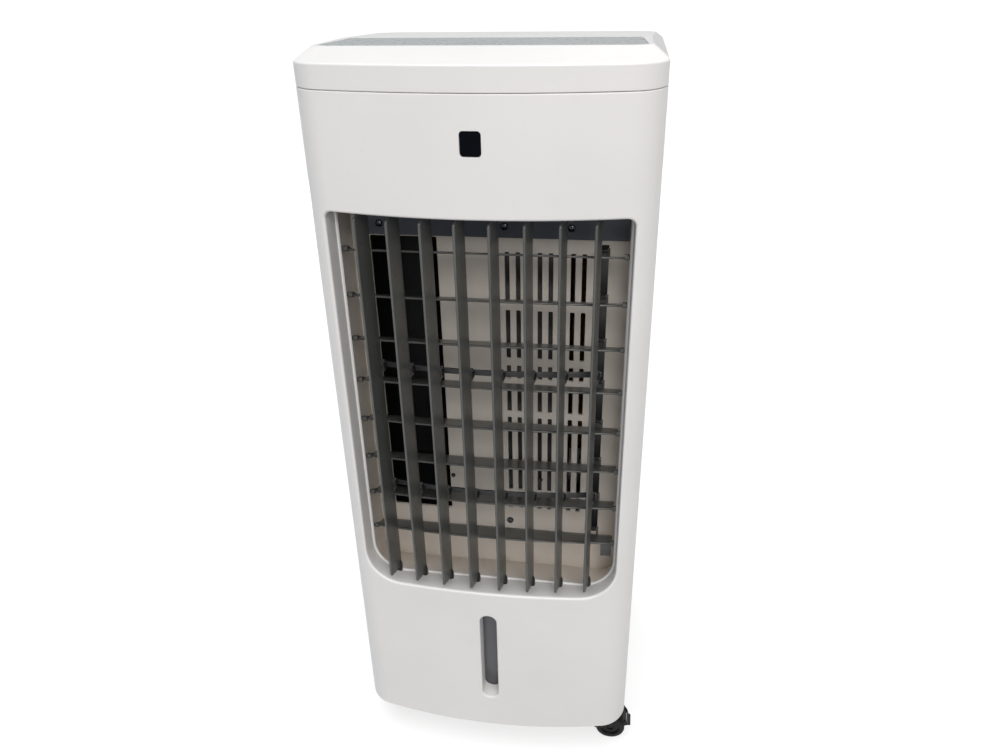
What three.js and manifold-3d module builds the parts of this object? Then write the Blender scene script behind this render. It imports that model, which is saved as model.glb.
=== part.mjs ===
// Portable evaporative air cooler: a free-standing tower on four casters.
// Millimetres, +Z up, front towards -Y, origin on the floor under the middle of the outline.
import * as THREE from 'three';
import * as BufferGeometryUtils from 'three/addons/utils/BufferGeometryUtils.js';
import Module from 'manifold-3d';

const wasm = await Module();
wasm.setup();

// ---------------------------------------------------------------- driving dimensions
const WIDTH = 280;
const DEPTH = 270;
const FRONT_SAG = 17.2;
const FRONT_CORNER = 30;
const REAR_CORNER = 24;
const WALL = 2.6;
const GAP = 0.4;

const BODY_BOTTOM = 36;
const SEAM_Z = 687;
const CAP_EDGE_Z = 706;
const TOP_Z = 714;
const SPLIT_Y = -70;

const OUTLET_HALF = 122.8;
const OUTLET_LOW = 219.3;
const OUTLET_HIGH = 594;
const OUTLET_TOP_CORNER = 7;
const OUTLET_LOW_CORNER = 34;
const RIM_Y = -98;
const RIM_HALF = 121;
const RIM_DROP = 9.6;
const RIM_RISE = 1.5;
const REVEAL_WALL = 2.2;

const DUCT_HALF = 123.5;
const DUCT_WALL = 2.4;
const DUCT_BACK_Y = -55.8;
const DUCT_FLOOR_BACK = 194.6;
const DUCT_TOP = 597.5;

const BLADE_COUNT = 8;
const BLADE_PITCH = 27.3;
const BLADE_INSET = 2.8;
const BLADE_FRONT = 21;
const BLADE_REAR = 5.5;
const BLADE_THICK = 2;
const BLADE_TOP = 590;
const BLADE_TIP = 221.9;
const BLADE_SLOPE = 0.29;
const BLADE_REST_DEG = -7.4;
const LINK_ARM = 8.9;
const LINK_HEIGHTS = [444.5, 315];

const SLAT_COUNT = 8;
const SLAT_TOP_Z = 554;
const SLAT_PITCH = 41.85;
const SLAT_PIN_Y = -93.8;
const SLAT_CLEARANCE = 1.5;
const SLAT_REAR = 24;
const SLAT_HALF = 117.5;
const SLAT_REST_DEG = -20;
const TILT_LINK_X = 98.5;
const TILT_ARM = 25.9;
const TILT_DROP = 4;

const TANK_HALF = 116;
const TANK_FRONT_Y = -111;
const TANK_LOW = 60;
const TANK_HIGH = 190;

const BLOWER_X = -30;
const BLOWER_Y = 8;
const BLOWER_RADIUS = 48;
const BLOWER_LOW = 243;
const BLOWER_HIGH = 572;

const GRILLE_HALF = 112;
const GRILLE_LOW = 240;
const GRILLE_HIGH = 650;

const CASTER_X = 112;
const CASTER_FRONT_Y = -96;
const CASTER_REAR_Y = 98;
const CASTER_WHEEL = 15.5;
const CASTER_TRAIL = 14;

const HALF = WIDTH / 2;
const FRONT_Y = -DEPTH / 2;
const REAR_Y = DEPTH / 2;
const FRONT_RADIUS = (HALF * HALF + FRONT_SAG * FRONT_SAG) / (2 * FRONT_SAG);
const FRONT_CENTRE_Y = FRONT_Y + FRONT_RADIUS;

// Sides of round pieces, by how large they are.
const SMALL = 8;
const MEDIUM = 12;
const LARGE = 16;
const BODY_ARC = 7;

// ---------------------------------------------------------------- materials
function paint(color, roughness, metalness = 0) {
  return new THREE.MeshStandardMaterial({ color, roughness, metalness });
}
const shellWhite = paint(0xe8e6e4, 0.42);
const ductWhite = paint(0xcfc8bf, 0.55);
const louvreGrey = paint(0x4a4d4f, 0.35);
const linkBlack = paint(0x1c1d1f, 0.4);
const panelGrey = paint(0x55595c, 0.35);
const glossBlack = paint(0x05070c, 0.08);
const gaugeSmoke = paint(0x4f5357, 0.15);
const buttonGrey = paint(0x8d9296, 0.4);
const boardGreen = paint(0x1d4a2c, 0.5);
const motorSteel = paint(0x9a9c9e, 0.35, 0.9);
const screwSteel = paint(0x6c6e70, 0.3, 1);
const padBrown = paint(0x9a7b4f, 0.9);
const netGrey = paint(0x34373a, 0.8);
const tankClear = paint(0xb9c4ca, 0.2);
const hoseClear = paint(0xc8ccc8, 0.25);
const mouldedBlack = paint(0x131416, 0.45);

// ---------------------------------------------------------------- solids
function solid(geometry) {
  const plain = geometry.clone();
  plain.deleteAttribute('normal');
  plain.deleteAttribute('uv');
  const merged = BufferGeometryUtils.mergeVertices(plain, 1e-4);
  const vertProperties = new Float32Array(merged.attributes.position.array);
  const triVerts = new Uint32Array(merged.index.array);
  return new wasm.Manifold(new wasm.Mesh({ numProp: 3, vertProperties, triVerts }));
}

function geometryOf(body) {
  const mesh = body.getMesh();
  const geometry = new THREE.BufferGeometry();
  geometry.setAttribute('position', new THREE.BufferAttribute(new Float32Array(mesh.vertProperties), 3));
  geometry.setIndex(new THREE.BufferAttribute(new Uint32Array(mesh.triVerts), 1));
  geometry.computeVertexNormals();
  return geometry;
}

function extrude(shape, depth, segments) {
  return new THREE.ExtrudeGeometry(shape, { depth, bevelEnabled: false, curveSegments: segments });
}

// An outline in X and Y, raised along Z.
function prismZ(shape, low, high, segments = BODY_ARC) {
  return solid(extrude(shape, high - low, segments).translate(0, 0, low));
}

// An outline in Y and Z, raised along X.
function prismX(shape, low, high, segments = 4) {
  const turn = new THREE.Matrix4().set(0, 0, 1, 0, 1, 0, 0, 0, 0, 1, 0, 0, 0, 0, 0, 1);
  return solid(extrude(shape, high - low, segments).translate(0, 0, low).applyMatrix4(turn));
}

// An outline in X and Z, raised along Y; shapeEdit may move the points afterwards.
function prismY(shape, low, high, segments = 5, shapeEdit = null) {
  const turn = new THREE.Matrix4().set(1, 0, 0, 0, 0, 0, -1, 0, 0, 1, 0, 0, 0, 0, 0, 1);
  const geometry = extrude(shape, high - low, segments).translate(0, 0, -high).applyMatrix4(turn);
  if (shapeEdit) shapeEdit(geometry.attributes.position);
  return solid(geometry);
}

function box(x0, x1, y0, y1, z0, z1) {
  const geometry = new THREE.BoxGeometry(x1 - x0, y1 - y0, z1 - z0);
  return solid(geometry.translate((x0 + x1) / 2, (y0 + y1) / 2, (z0 + z1) / 2));
}

function rodZ(radius, x, y, low, high, sides = SMALL) {
  const geometry = new THREE.CylinderGeometry(radius, radius, high - low, sides).rotateX(Math.PI / 2);
  return solid(geometry.translate(x, y, (low + high) / 2));
}

function rodX(radius, y, z, low, high, sides = SMALL) {
  const geometry = new THREE.CylinderGeometry(radius, radius, high - low, sides).rotateZ(Math.PI / 2);
  return solid(geometry.translate((low + high) / 2, y, z));
}

function rodY(radius, x, z, low, high, sides = MEDIUM) {
  const geometry = new THREE.CylinderGeometry(radius, radius, high - low, sides);
  return solid(geometry.translate(x, (low + high) / 2, z));
}

function join(bodies) {
  return bodies.reduce((sum, body) => sum.add(body));
}

function polygon(points) {
  return new THREE.Shape(points.map(([u, v]) => new THREE.Vector2(u, v)));
}

function capsule(halfWidth, low, high) {
  const shape = new THREE.Shape();
  shape.absarc(0, low + halfWidth, halfWidth, Math.PI, 2 * Math.PI, false);
  shape.absarc(0, high - halfWidth, halfWidth, 0, Math.PI, false);
  return shape;
}

function roundedBox(halfX, low, high, corner) {
  const shape = new THREE.Shape();
  shape.absarc(-halfX + corner, low + corner, corner, Math.PI, 1.5 * Math.PI, false);
  shape.absarc(halfX - corner, low + corner, corner, 1.5 * Math.PI, 2 * Math.PI, false);
  shape.absarc(halfX - corner, high - corner, corner, 0, 0.5 * Math.PI, false);
  shape.absarc(-halfX + corner, high - corner, corner, 0.5 * Math.PI, Math.PI, false);
  return shape;
}

// ---------------------------------------------------------------- scene graph
const cooler = new THREE.Group();

function place(name, body, material, parent = cooler) {
  const mesh = new THREE.Mesh(geometryOf(body), material.clone());
  mesh.name = name;
  parent.add(mesh);
  return mesh;
}

// ---------------------------------------------------------------- body outline
// The front is one shallow arc between two round corners; every inset shares its centres.
const CORNER_X = HALF - FRONT_CORNER;
const CORNER_Y = FRONT_CENTRE_Y - Math.sqrt((FRONT_RADIUS - FRONT_CORNER) ** 2 - CORNER_X ** 2);
const CORNER_TURN = Math.atan2(CORNER_X, FRONT_CENTRE_Y - CORNER_Y);

function bodyOutline(inset) {
  const left = 1.5 * Math.PI - CORNER_TURN;
  const right = 1.5 * Math.PI + CORNER_TURN;
  const rearX = HALF - REAR_CORNER;
  const rearY = REAR_Y - REAR_CORNER;
  const shape = new THREE.Shape();
  shape.absarc(-CORNER_X, CORNER_Y, FRONT_CORNER - inset, Math.PI, left, false);
  shape.absarc(0, FRONT_CENTRE_Y, FRONT_RADIUS - inset, left, right, false);
  shape.absarc(CORNER_X, CORNER_Y, FRONT_CORNER - inset, right, 2 * Math.PI, false);
  shape.absarc(rearX, rearY, REAR_CORNER - inset, 0, 0.5 * Math.PI, false);
  shape.absarc(-rearX, rearY, REAR_CORNER - inset, 0.5 * Math.PI, Math.PI, false);
  return shape;
}

function frontY(x) {
  return FRONT_CENTRE_Y - Math.sqrt(FRONT_RADIUS ** 2 - x ** 2);
}

function bodyShell(low, high) {
  const outer = prismZ(bodyOutline(0), low, high);
  return outer.subtract(prismZ(bodyOutline(WALL), low - 1, high + 1));
}

// ---------------------------------------------------------------- front panel
function outletOutline(grow) {
  const half = OUTLET_HALF + grow;
  const low = OUTLET_LOW - grow;
  const high = OUTLET_HIGH + grow;
  const lowCorner = OUTLET_LOW_CORNER + grow;
  const highCorner = OUTLET_TOP_CORNER + grow;
  const shape = new THREE.Shape();
  shape.absarc(-half + lowCorner, low + lowCorner, lowCorner, Math.PI, 1.5 * Math.PI, false);
  shape.absarc(half - lowCorner, low + lowCorner, lowCorner, 1.5 * Math.PI, 2 * Math.PI, false);
  shape.absarc(half - highCorner, high - highCorner, highCorner, 0, 0.5 * Math.PI, false);
  shape.absarc(-half + highCorner, high - highCorner, highCorner, 0.5 * Math.PI, Math.PI, false);
  return shape;
}

// The outlet's walls draw in to the rim and its floor falls towards the rear.
const REVEAL_FRONT_Y = -131;
function funnel(points) {
  const middle = (OUTLET_LOW + OUTLET_HIGH) / 2;
  for (let i = 0; i < points.count; i += 1) {
    const along = (points.getY(i) - REVEAL_FRONT_Y) / (RIM_Y - REVEAL_FRONT_Y);
    const lower = points.getZ(i) < middle;
    points.setX(i, points.getX(i) * (1 - along * (1 - RIM_HALF / OUTLET_HALF)));
    points.setZ(i, points.getZ(i) + along * (lower ? -RIM_DROP : RIM_RISE));
  }
}

const GAUGE_HALF = 8.3;
const GAUGE_LOW = 76.6;
const GAUGE_HIGH = 190.6;
const GAUGE_FLOOR_Y = -118;
const DISPLAY_HALF = 7.7;
const DISPLAY_LOW = 642.3;
const DISPLAY_HIGH = 660.4;
const DISPLAY_CORNER = 2.5;
const NUB_RADIUS = 2.5;
const NUB_HOLE = 3.3;

function bladePivot(index) {
  const x = (index - (BLADE_COUNT - 1) / 2) * BLADE_PITCH;
  return [x, frontY(x) + BLADE_INSET + BLADE_FRONT];
}

function frontPanel() {
  const behind = FRONT_Y - 5;
  const inside = prismZ(bodyOutline(0), BODY_BOTTOM, SEAM_Z - GAP);
  const tubes = [
    prismY(outletOutline(REVEAL_WALL), behind, RIM_Y, 5, funnel),
    prismY(capsule(GAUGE_HALF + 2, GAUGE_LOW - 2, GAUGE_HIGH + 2), behind, GAUGE_FLOOR_Y),
    prismY(roundedBox(DISPLAY_HALF + 2.4, DISPLAY_LOW - 2, DISPLAY_HIGH + 2, 4), behind, -126, 3),
  ];
  let panel = bodyShell(BODY_BOTTOM, SEAM_Z - GAP).subtract(box(-200, 200, SPLIT_Y, 200, 0, 800));
  panel = panel.add(join(tubes).intersect(inside));
  const cuts = [
    prismY(outletOutline(0), behind - 1, RIM_Y + 1, 5, funnel),
    prismY(capsule(GAUGE_HALF, GAUGE_LOW, GAUGE_HIGH), behind, GAUGE_FLOOR_Y + 1),
    prismY(roundedBox(DISPLAY_HALF + GAP, DISPLAY_LOW - GAP, DISPLAY_HIGH + GAP, 2.9), behind, -125, 3),
  ];
  for (let i = 0; i < BLADE_COUNT; i += 1) {
    const [x, y] = bladePivot(i);
    cuts.push(rodZ(NUB_HOLE, x, y, OUTLET_LOW - 16, OUTLET_LOW + 4, 6));
    cuts.push(rodZ(NUB_HOLE, x, y, OUTLET_HIGH - 4, OUTLET_HIGH + 8, 6));
  }
  return panel.subtract(join(cuts));
}

place('front_panel', frontPanel(), shellWhite);
place('gauge_window', prismY(capsule(GAUGE_HALF + 2, GAUGE_LOW - 2, GAUGE_HIGH + 2),
  GAUGE_FLOOR_Y + GAP, GAUGE_FLOOR_Y + GAP + 2), gaugeSmoke);
place('display_window', prismY(roundedBox(DISPLAY_HALF, DISPLAY_LOW, DISPLAY_HIGH, DISPLAY_CORNER),
  -134, -127, 3), glossBlack);

// ---------------------------------------------------------------- rear housing
const REAR_WALL = 3;
const TANK_HOLE_HALF = TANK_HALF + 1.5;
const LATCH_SEAT_Y = 128.8;
const LATCH_Z = TANK_HIGH + 9;
const GLAND = { x: -92, z: 216, cup: 13, collar: 6.5, bore: 3.5, floorY: 127 };

// The power cord's entry: a round cup in the rear wall with a collar standing in it.
function addGland(housing) {
  const { x, z, cup, collar, bore, floorY } = GLAND;
  return housing
    .add(rodY(cup + 2, x, z, floorY - 2.4, REAR_Y - 1, LARGE))
    .subtract(rodY(cup, x, z, floorY, REAR_Y + 1, LARGE))
    .add(rodY(collar, x, z, floorY - 1, REAR_Y - 0.6))
    .subtract(rodY(bore, x, z, floorY - 4, REAR_Y + 1));
}

function rearHousing() {
  const rearPlate = prismZ(bodyOutline(0.1), BODY_BOTTOM, SEAM_Z - GAP)
    .intersect(box(-200, 200, REAR_Y - REAR_WALL, REAR_Y, 0, 800));
  const shell = bodyShell(BODY_BOTTOM, SEAM_Z - GAP)
    .subtract(box(-200, 200, -200, SPLIT_Y + GAP, 0, 800))
    .add(rearPlate);
  const rail = 6;
  const rails = join([-1, 1].map((side) => {
    const outer = side * (HALF - 1);
    const inner = side * (TANK_HALF - 8);
    return box(Math.min(outer, inner), Math.max(outer, inner), SPLIT_Y + 10, REAR_Y - 1,
      TANK_LOW - rail - GAP, TANK_LOW - GAP);
  }));
  const grilleHole = box(-GRILLE_HALF - GAP, GRILLE_HALF + GAP, 120, 140,
    GRILLE_LOW - GAP, GRILLE_HIGH + GAP);
  const tankHole = box(-TANK_HOLE_HALF, TANK_HOLE_HALF, 120, 140, TANK_LOW - 0.8, TANK_HIGH + 1.5);
  const railLimit = prismZ(bodyOutline(0.1), BODY_BOTTOM, SEAM_Z - GAP);
  const latchBox = box(-24, 24, 126.4, REAR_Y - 1, TANK_HIGH + 3, TANK_HIGH + 28);
  const latchHollow = box(-22, 22, LATCH_SEAT_Y, 140, TANK_HIGH, TANK_HIGH + 26);
  const housing = shell.add(rails.intersect(railLimit)).add(latchBox)
    .subtract(join([grilleHole, tankHole, latchHollow]));
  return addGland(housing);
}
place('rear_housing', rearHousing(), shellWhite);

// ---------------------------------------------------------------- top cap and controls
const PLATEAU_HALF = 128;
const PLATEAU_FRONT = -98;
const PLATEAU_REAR = 124;
const PLATEAU_EASE = 1.6;
const TOP_FALL = 0.045;
const REAR_FALL = 0.08;
const CREASE_Y = -14;
const PANEL_HALF = 124;
const PANEL_FRONT = -94;
const PANEL_REAR = -18;
const PANEL_THICK = 2;
const PANEL_CORNER = 12;
const PANEL_SLANT = 4;

// The top falls gently towards the rear: each point drops by its distance behind a given line.
function lean(geometry, fromY, fall = TOP_FALL) {
  const points = geometry.attributes.position;
  for (let i = 0; i < points.count; i += 1) {
    points.setZ(i, points.getZ(i) - fall * (points.getY(i) - fromY));
  }
  return geometry;
}

function leaningPrism(shape, low, high, fromY = PLATEAU_FRONT) {
  return solid(lean(extrude(shape, high - low, BODY_ARC).translate(0, 0, low), fromY));
}

function leaningRod(radius, x, low, high, sides = SMALL) {
  const rod = new THREE.CylinderGeometry(radius, radius, high - low, sides).rotateX(Math.PI / 2);
  return solid(lean(rod.translate(x, BUTTON_Y, (low + high) / 2), PLATEAU_FRONT));
}

// The cap's sides stand straight to its edge, and slope in from there to the flat top,
// whose front edge is straighter than the body's. Behind the crease the top falls more.
function capOutside() {
  const height = TOP_Z - SEAM_Z;
  const geometry = new THREE.ExtrudeGeometry(bodyOutline(0),
    { depth: height, steps: 2, bevelEnabled: false, curveSegments: BODY_ARC });
  const points = geometry.attributes.position;
  for (let i = 0; i < points.count; i += 1) {
    const level = Math.round(2 * points.getZ(i) / height);
    const y = points.getY(i);
    if (level === 0) points.setZ(i, SEAM_Z);
    if (level === 1) points.setZ(i, CAP_EDGE_Z - TOP_FALL * (y - FRONT_Y));
    if (level === 2) {
      const along = ((y - FRONT_Y) / DEPTH) ** PLATEAU_EASE;
      const plateauY = PLATEAU_FRONT + along * (PLATEAU_REAR - PLATEAU_FRONT);
      points.setX(i, points.getX(i) * PLATEAU_HALF / HALF);
      points.setY(i, plateauY);
      points.setZ(i, TOP_Z - TOP_FALL * (plateauY - PLATEAU_FRONT));
    }
  }
  const creaseZ = TOP_Z - TOP_FALL * (CREASE_Y - PLATEAU_FRONT);
  const above = new THREE.BoxGeometry(2 * WIDTH, 2 * DEPTH, 20).translate(0, CREASE_Y + DEPTH, creaseZ + 10);
  return solid(geometry).subtract(solid(lean(above, CREASE_Y, REAR_FALL)));
}

function panelOutline(grow) {
  const rear = PANEL_REAR + grow;
  const front = PANEL_FRONT - grow;
  const shape = new THREE.Shape();
  const half = PANEL_HALF + grow;
  const corner = PANEL_CORNER;
  shape.moveTo(-half + PANEL_SLANT, rear);
  shape.lineTo(-half, front + corner);
  shape.absarc(-half + corner, front + corner, corner, Math.PI, 1.5 * Math.PI, false);
  shape.absarc(half - corner, front + corner, corner, 1.5 * Math.PI, 2 * Math.PI, false);
  shape.lineTo(half - PANEL_SLANT, rear);
  return shape;
}

function topCap() {
  const hollow = leaningPrism(bodyOutline(WALL), SEAM_Z - 1, CAP_EDGE_Z - WALL, FRONT_Y);
  const roof = polygon([[-116, -86], [116, -86], [116, 60], [-116, 60]]);
  const roofHollow = leaningPrism(roof, SEAM_Z - 1, TOP_Z - PANEL_THICK - GAP - WALL);
  const pocket = leaningPrism(panelOutline(GAP), TOP_Z - PANEL_THICK - GAP, TOP_Z + 1);
  const keyWindow = box(-66, 66, -84, -66, CAP_EDGE_Z - 6, TOP_Z);
  return capOutside().subtract(join([hollow, roofHollow, pocket, keyWindow]));
}
place('top_cap', topCap(), shellWhite);

const BUTTONS = ['power', 'speed', 'swing', 'cool', 'timer'];
const BUTTON_PITCH = 24;
const BUTTON_RADIUS = 6.5;
const BUTTON_Y = -75;

function buttonX(index) {
  return (index - (BUTTONS.length - 1) / 2) * BUTTON_PITCH;
}

const buttonHoles = join(BUTTONS.map((label, i) => (
  leaningRod(BUTTON_RADIUS + GAP, buttonX(i), CAP_EDGE_Z, TOP_Z + 2, MEDIUM))));
const panelSheet = leaningPrism(panelOutline(0), TOP_Z - PANEL_THICK, TOP_Z);
place('control_panel', panelSheet.subtract(buttonHoles), panelGrey);
BUTTONS.forEach((label, i) => {
  const key = leaningRod(BUTTON_RADIUS, buttonX(i), TOP_Z - 4, TOP_Z, MEDIUM)
    .add(leaningRod(BUTTON_RADIUS + 1, buttonX(i), TOP_Z - 5, TOP_Z - PANEL_THICK - 0.8, MEDIUM))
    .add(leaningRod(2, buttonX(i), TOP_Z - 9, TOP_Z - 4.5));
  place(`button_${label}`, key, buttonGrey);
});
place('circuit_board', box(-64, 64, -92, -58, 698, 700).add(box(30, 56, -90, -62, 692, 698.5)), boardGreen);

// ---------------------------------------------------------------- air duct with its back wall
const NOZZLE_LEFT = -108;
const NOZZLE_RIGHT = -48;
const NOZZLE_LOW = 260.6;
const NOZZLE_HIGH = 553;
const SLOT_WIDTH = 4;
const SLOT_PAIR_GAP = 9.6;
const SLOT_PAIR_PITCH = 28.9;
const SLOT_FIRST_X = 13.9;
const SLOT_PAIRS = 3;
const SLOT_LOW = 266;
const SLOT_HIGH = 541;

function slatZ(index) {
  return SLAT_TOP_Z - index * SLAT_PITCH;
}

function airDuct() {
  const front = RIM_Y + GAP;
  const back = DUCT_BACK_Y + DUCT_WALL;
  const floorFront = OUTLET_LOW - RIM_DROP - 0.4;
  const outerProfile = polygon([[front, floorFront - DUCT_WALL], [back, DUCT_FLOOR_BACK - DUCT_WALL - 0.9],
    [back, DUCT_TOP + DUCT_WALL], [front, DUCT_TOP + DUCT_WALL]]);
  const innerProfile = polygon([[front - 1, floorFront + 0.3], [DUCT_BACK_Y, DUCT_FLOOR_BACK],
    [DUCT_BACK_Y, DUCT_TOP], [front - 1, DUCT_TOP]]);
  const outer = prismX(outerProfile, -DUCT_HALF - DUCT_WALL, DUCT_HALF + DUCT_WALL);
  const cuts = [prismX(innerProfile, -DUCT_HALF, DUCT_HALF)];
  cuts.push(box(NOZZLE_LEFT, NOZZLE_RIGHT, DUCT_BACK_Y - 1, back + 1, NOZZLE_LOW, NOZZLE_HIGH));
  for (let pair = 0; pair < SLOT_PAIRS; pair += 1) {
    for (let side = 0; side < 2; side += 1) {
      const x = SLOT_FIRST_X + pair * SLOT_PAIR_PITCH + side * SLOT_PAIR_GAP;
      cuts.push(box(x - SLOT_WIDTH / 2, x + SLOT_WIDTH / 2, DUCT_BACK_Y - 1, back + 1, SLOT_LOW, SLOT_HIGH));
    }
  }
  for (let i = 0; i < SLAT_COUNT; i += 1) {
    cuts.push(rodX(2.3, SLAT_PIN_Y, slatZ(i), -140, 140, 6));
    cuts.push(box(-140, 140, front - 1, SLAT_PIN_Y, slatZ(i) - 1.2, slatZ(i) + 1.2));
  }
  return outer.subtract(join(cuts));
}
place('air_duct', airDuct(), ductWhite);

const RAIL_LOW = 555;
const RAIL_SCREWS = [-97, 12.8, 70];
place('top_rail', box(-DUCT_HALF + GAP, DUCT_HALF - GAP, DUCT_BACK_Y - 4, DUCT_BACK_Y - GAP,
  RAIL_LOW, DUCT_TOP - GAP), linkBlack);
RAIL_SCREWS.forEach((x, i) => {
  const head = rodY(3.2, x, RAIL_LOW + 10.5, DUCT_BACK_Y - 6.6, DUCT_BACK_Y - 4.3);
  place(`rail_screw_${i + 1}`, head, screwSteel);
});

// ---------------------------------------------------------------- vertical louvres and swing links
function verticalLouvre() {
  const floor = (y) => BLADE_TIP - BLADE_SLOPE * (y + BLADE_FRONT);
  const profile = polygon([[-BLADE_FRONT, BLADE_TIP], [BLADE_REAR, floor(BLADE_REAR)],
    [BLADE_REAR, BLADE_TOP], [-BLADE_FRONT, BLADE_TOP]]);
  const parts = [
    prismX(profile, -BLADE_THICK / 2, BLADE_THICK / 2),
    rodZ(NUB_RADIUS, 0, 0, 208.5, floor(0) + 3),
    rodZ(NUB_RADIUS, 0, 0, BLADE_TOP - 3, 599),
  ];
  const earTip = LINK_ARM + 1.7;
  const ear = polygon([[-1.6, BLADE_REAR - 2], [1.6, BLADE_REAR - 2], [1.6, earTip - 0.8], [0.8, earTip],
    [-0.8, earTip], [-1.6, earTip - 0.8]]);
  for (const z of LINK_HEIGHTS) {
    parts.push(prismZ(ear, z + 3.4, z + 5.2));
    parts.push(prismZ(ear, z - 5.2, z - 3.4));
    parts.push(rodZ(1.2, 0, LINK_ARM, z - 4, z + 4, 6));
  }
  return join(parts);
}

const louvreBody = verticalLouvre();
const swingRest = THREE.MathUtils.degToRad(BLADE_REST_DEG);
for (let i = 0; i < BLADE_COUNT; i += 1) {
  const holder = new THREE.Group();
  const [x, y] = bladePivot(i);
  holder.position.set(x, y, 0);
  holder.rotation.z = swingRest;
  place(`vertical_louvre_${i + 1}`, louvreBody, louvreGrey, holder);
  cooler.add(holder);
}

// A bar bent like the front, with one open clip round each louvre's link pin.
function linkPin(index) {
  const [x, y] = bladePivot(index);
  return [x - LINK_ARM * Math.sin(swingRest), y + LINK_ARM * Math.cos(swingRest)];
}

function swingLink(z) {
  const near = 2.1;
  const far = 4.4;
  const [firstX] = linkPin(0);
  const [lastX] = linkPin(BLADE_COUNT - 1);
  const steps = 9;
  const shift = linkPin(0)[1] - frontY(bladePivot(0)[0]);
  const middle = (firstX + lastX) / 2;
  const edge = [];
  for (let s = 0; s <= steps; s += 1) {
    const x = firstX - 4 + (lastX - firstX + 8) * s / steps;
    edge.push([x, frontY(x - middle) + shift]);
  }
  const outline = edge.map(([x, y]) => [x, y + near]);
  outline.push(...edge.reverse().map(([x, y]) => [x, y + far]));
  const parts = [prismZ(polygon(outline), z - 2.8, z + 2.8)];
  const cuts = [];
  for (let i = 0; i < BLADE_COUNT; i += 1) {
    const [x, y] = linkPin(i);
    parts.push(rodZ(2.9, x, y, z - 2.8, z + 2.8));
    cuts.push(rodZ(1.6, x, y, z - 4, z + 4));
    cuts.push(box(x - 0.9, x + 0.9, y - 4, y, z - 4, z + 4));
  }
  return join(parts).subtract(join(cuts));
}
place('swing_link_upper', swingLink(LINK_HEIGHTS[0]), linkBlack);
place('swing_link_lower', swingLink(LINK_HEIGHTS[1]), linkBlack);

// ---------------------------------------------------------------- horizontal louvres and tilt link
// The front edge stays just behind the vertical louvres; the rear edge hangs lower at rest.
function slatFront(x) {
  return frontY(x) + BLADE_INSET + BLADE_FRONT + BLADE_REAR + SLAT_CLEARANCE - SLAT_PIN_Y;
}

function horizontalLouvre(hasTab) {
  const rest = THREE.MathUtils.degToRad(SLAT_REST_DEG);
  const pinY = TILT_ARM * Math.cos(rest) - TILT_DROP * Math.sin(rest);
  const pinZ = -TILT_ARM * Math.sin(rest) - TILT_DROP * Math.cos(rest);
  const steps = 14;
  const outline = [];
  for (let s = 0; s <= steps; s += 1) {
    const x = -SLAT_HALF + 2 * SLAT_HALF * s / steps;
    outline.push([x, slatFront(x)]);
  }
  outline.push([SLAT_HALF, SLAT_REAR], [-SLAT_HALF, SLAT_REAR]);
  const fin = polygon([[-2.4, -1.6], [0, -2.6], [14, -1.9], [14, -0.1], [0, 2.6], [-2.4, 1.6]]);
  const ear = polygon([[SLAT_REAR - 7, -1], [SLAT_REAR - 0.5, -1], [pinY + 1.7, pinZ - 0.8],
    [pinY + 1.7, pinZ + 0.8], [pinY + 0.8, pinZ + 1.7], [pinY - 0.8, pinZ + 1.7], [pinY - 1.7, pinZ + 0.8]]);
  const parts = [
    prismZ(polygon(outline), -2, 0),
    prismX(fin, -SLAT_HALF, -SLAT_HALF + 2),
    prismX(fin, SLAT_HALF - 2, SLAT_HALF),
    rodX(1.7, 0, 0, -DUCT_HALF - 1.6, -SLAT_HALF + 1, 6),
    rodX(1.7, 0, 0, SLAT_HALF - 1, DUCT_HALF + 1.6, 6),
    prismX(ear, TILT_LINK_X - 4.6, TILT_LINK_X - 2.8),
    prismX(ear, TILT_LINK_X + 2.8, TILT_LINK_X + 4.6),
    rodX(1.2, pinY, pinZ, TILT_LINK_X - 4, TILT_LINK_X + 4, 6),
  ];
  const slat = join(parts).rotate([SLAT_REST_DEG, 0, 0]);
  return hasTab ? slat.add(box(106.5, 116.8, 1.6, 3.4, -18, -0.8)) : slat;
}

for (let i = 0; i < SLAT_COUNT; i += 1) {
  const slat = place(`horizontal_louvre_${i + 1}`, horizontalLouvre(i === SLAT_COUNT - 1), louvreGrey);
  slat.position.set(0, SLAT_PIN_Y, slatZ(i));
}

function tiltLink() {
  const pinY = SLAT_PIN_Y + TILT_ARM;
  const low = slatZ(SLAT_COUNT - 1) - TILT_DROP - 2.9;
  const high = slatZ(0) - TILT_DROP + 2.9;
  const parts = [box(TILT_LINK_X - 3.5, TILT_LINK_X + 3.5, pinY + 2.2, pinY + 4.6, low, high)];
  const cuts = [];
  for (let i = 0; i < SLAT_COUNT; i += 1) {
    const z = slatZ(i) - TILT_DROP;
    parts.push(rodX(2.9, pinY, z, TILT_LINK_X - 2.4, TILT_LINK_X + 2.4));
    cuts.push(rodX(1.6, pinY, z, TILT_LINK_X - 4, TILT_LINK_X + 4));
    cuts.push(box(TILT_LINK_X - 4, TILT_LINK_X + 4, pinY - 4, pinY, z - 0.9, z + 0.9));
  }
  return join(parts).subtract(join(cuts));
}
place('tilt_link', tiltLink(), linkBlack);

// ---------------------------------------------------------------- swing drive
const MOTOR_X = -60;
const MOTOR_Y = -100;
place('swing_motor', rodZ(17, MOTOR_X, MOTOR_Y, 612, 628, LARGE)
  .add(box(MOTOR_X - 24, MOTOR_X + 24, MOTOR_Y - 4, MOTOR_Y + 4, 612, 614)), motorSteel);
place('swing_crank', rodZ(8, MOTOR_X, MOTOR_Y, 606, 611.5, MEDIUM)
  .add(rodZ(2, MOTOR_X + 5, MOTOR_Y, 602.5, 607)), linkBlack);

// ---------------------------------------------------------------- blower
const BLOWER_BOX = { left: -118, right: 64, front: -53, rear: 70 };

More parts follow.
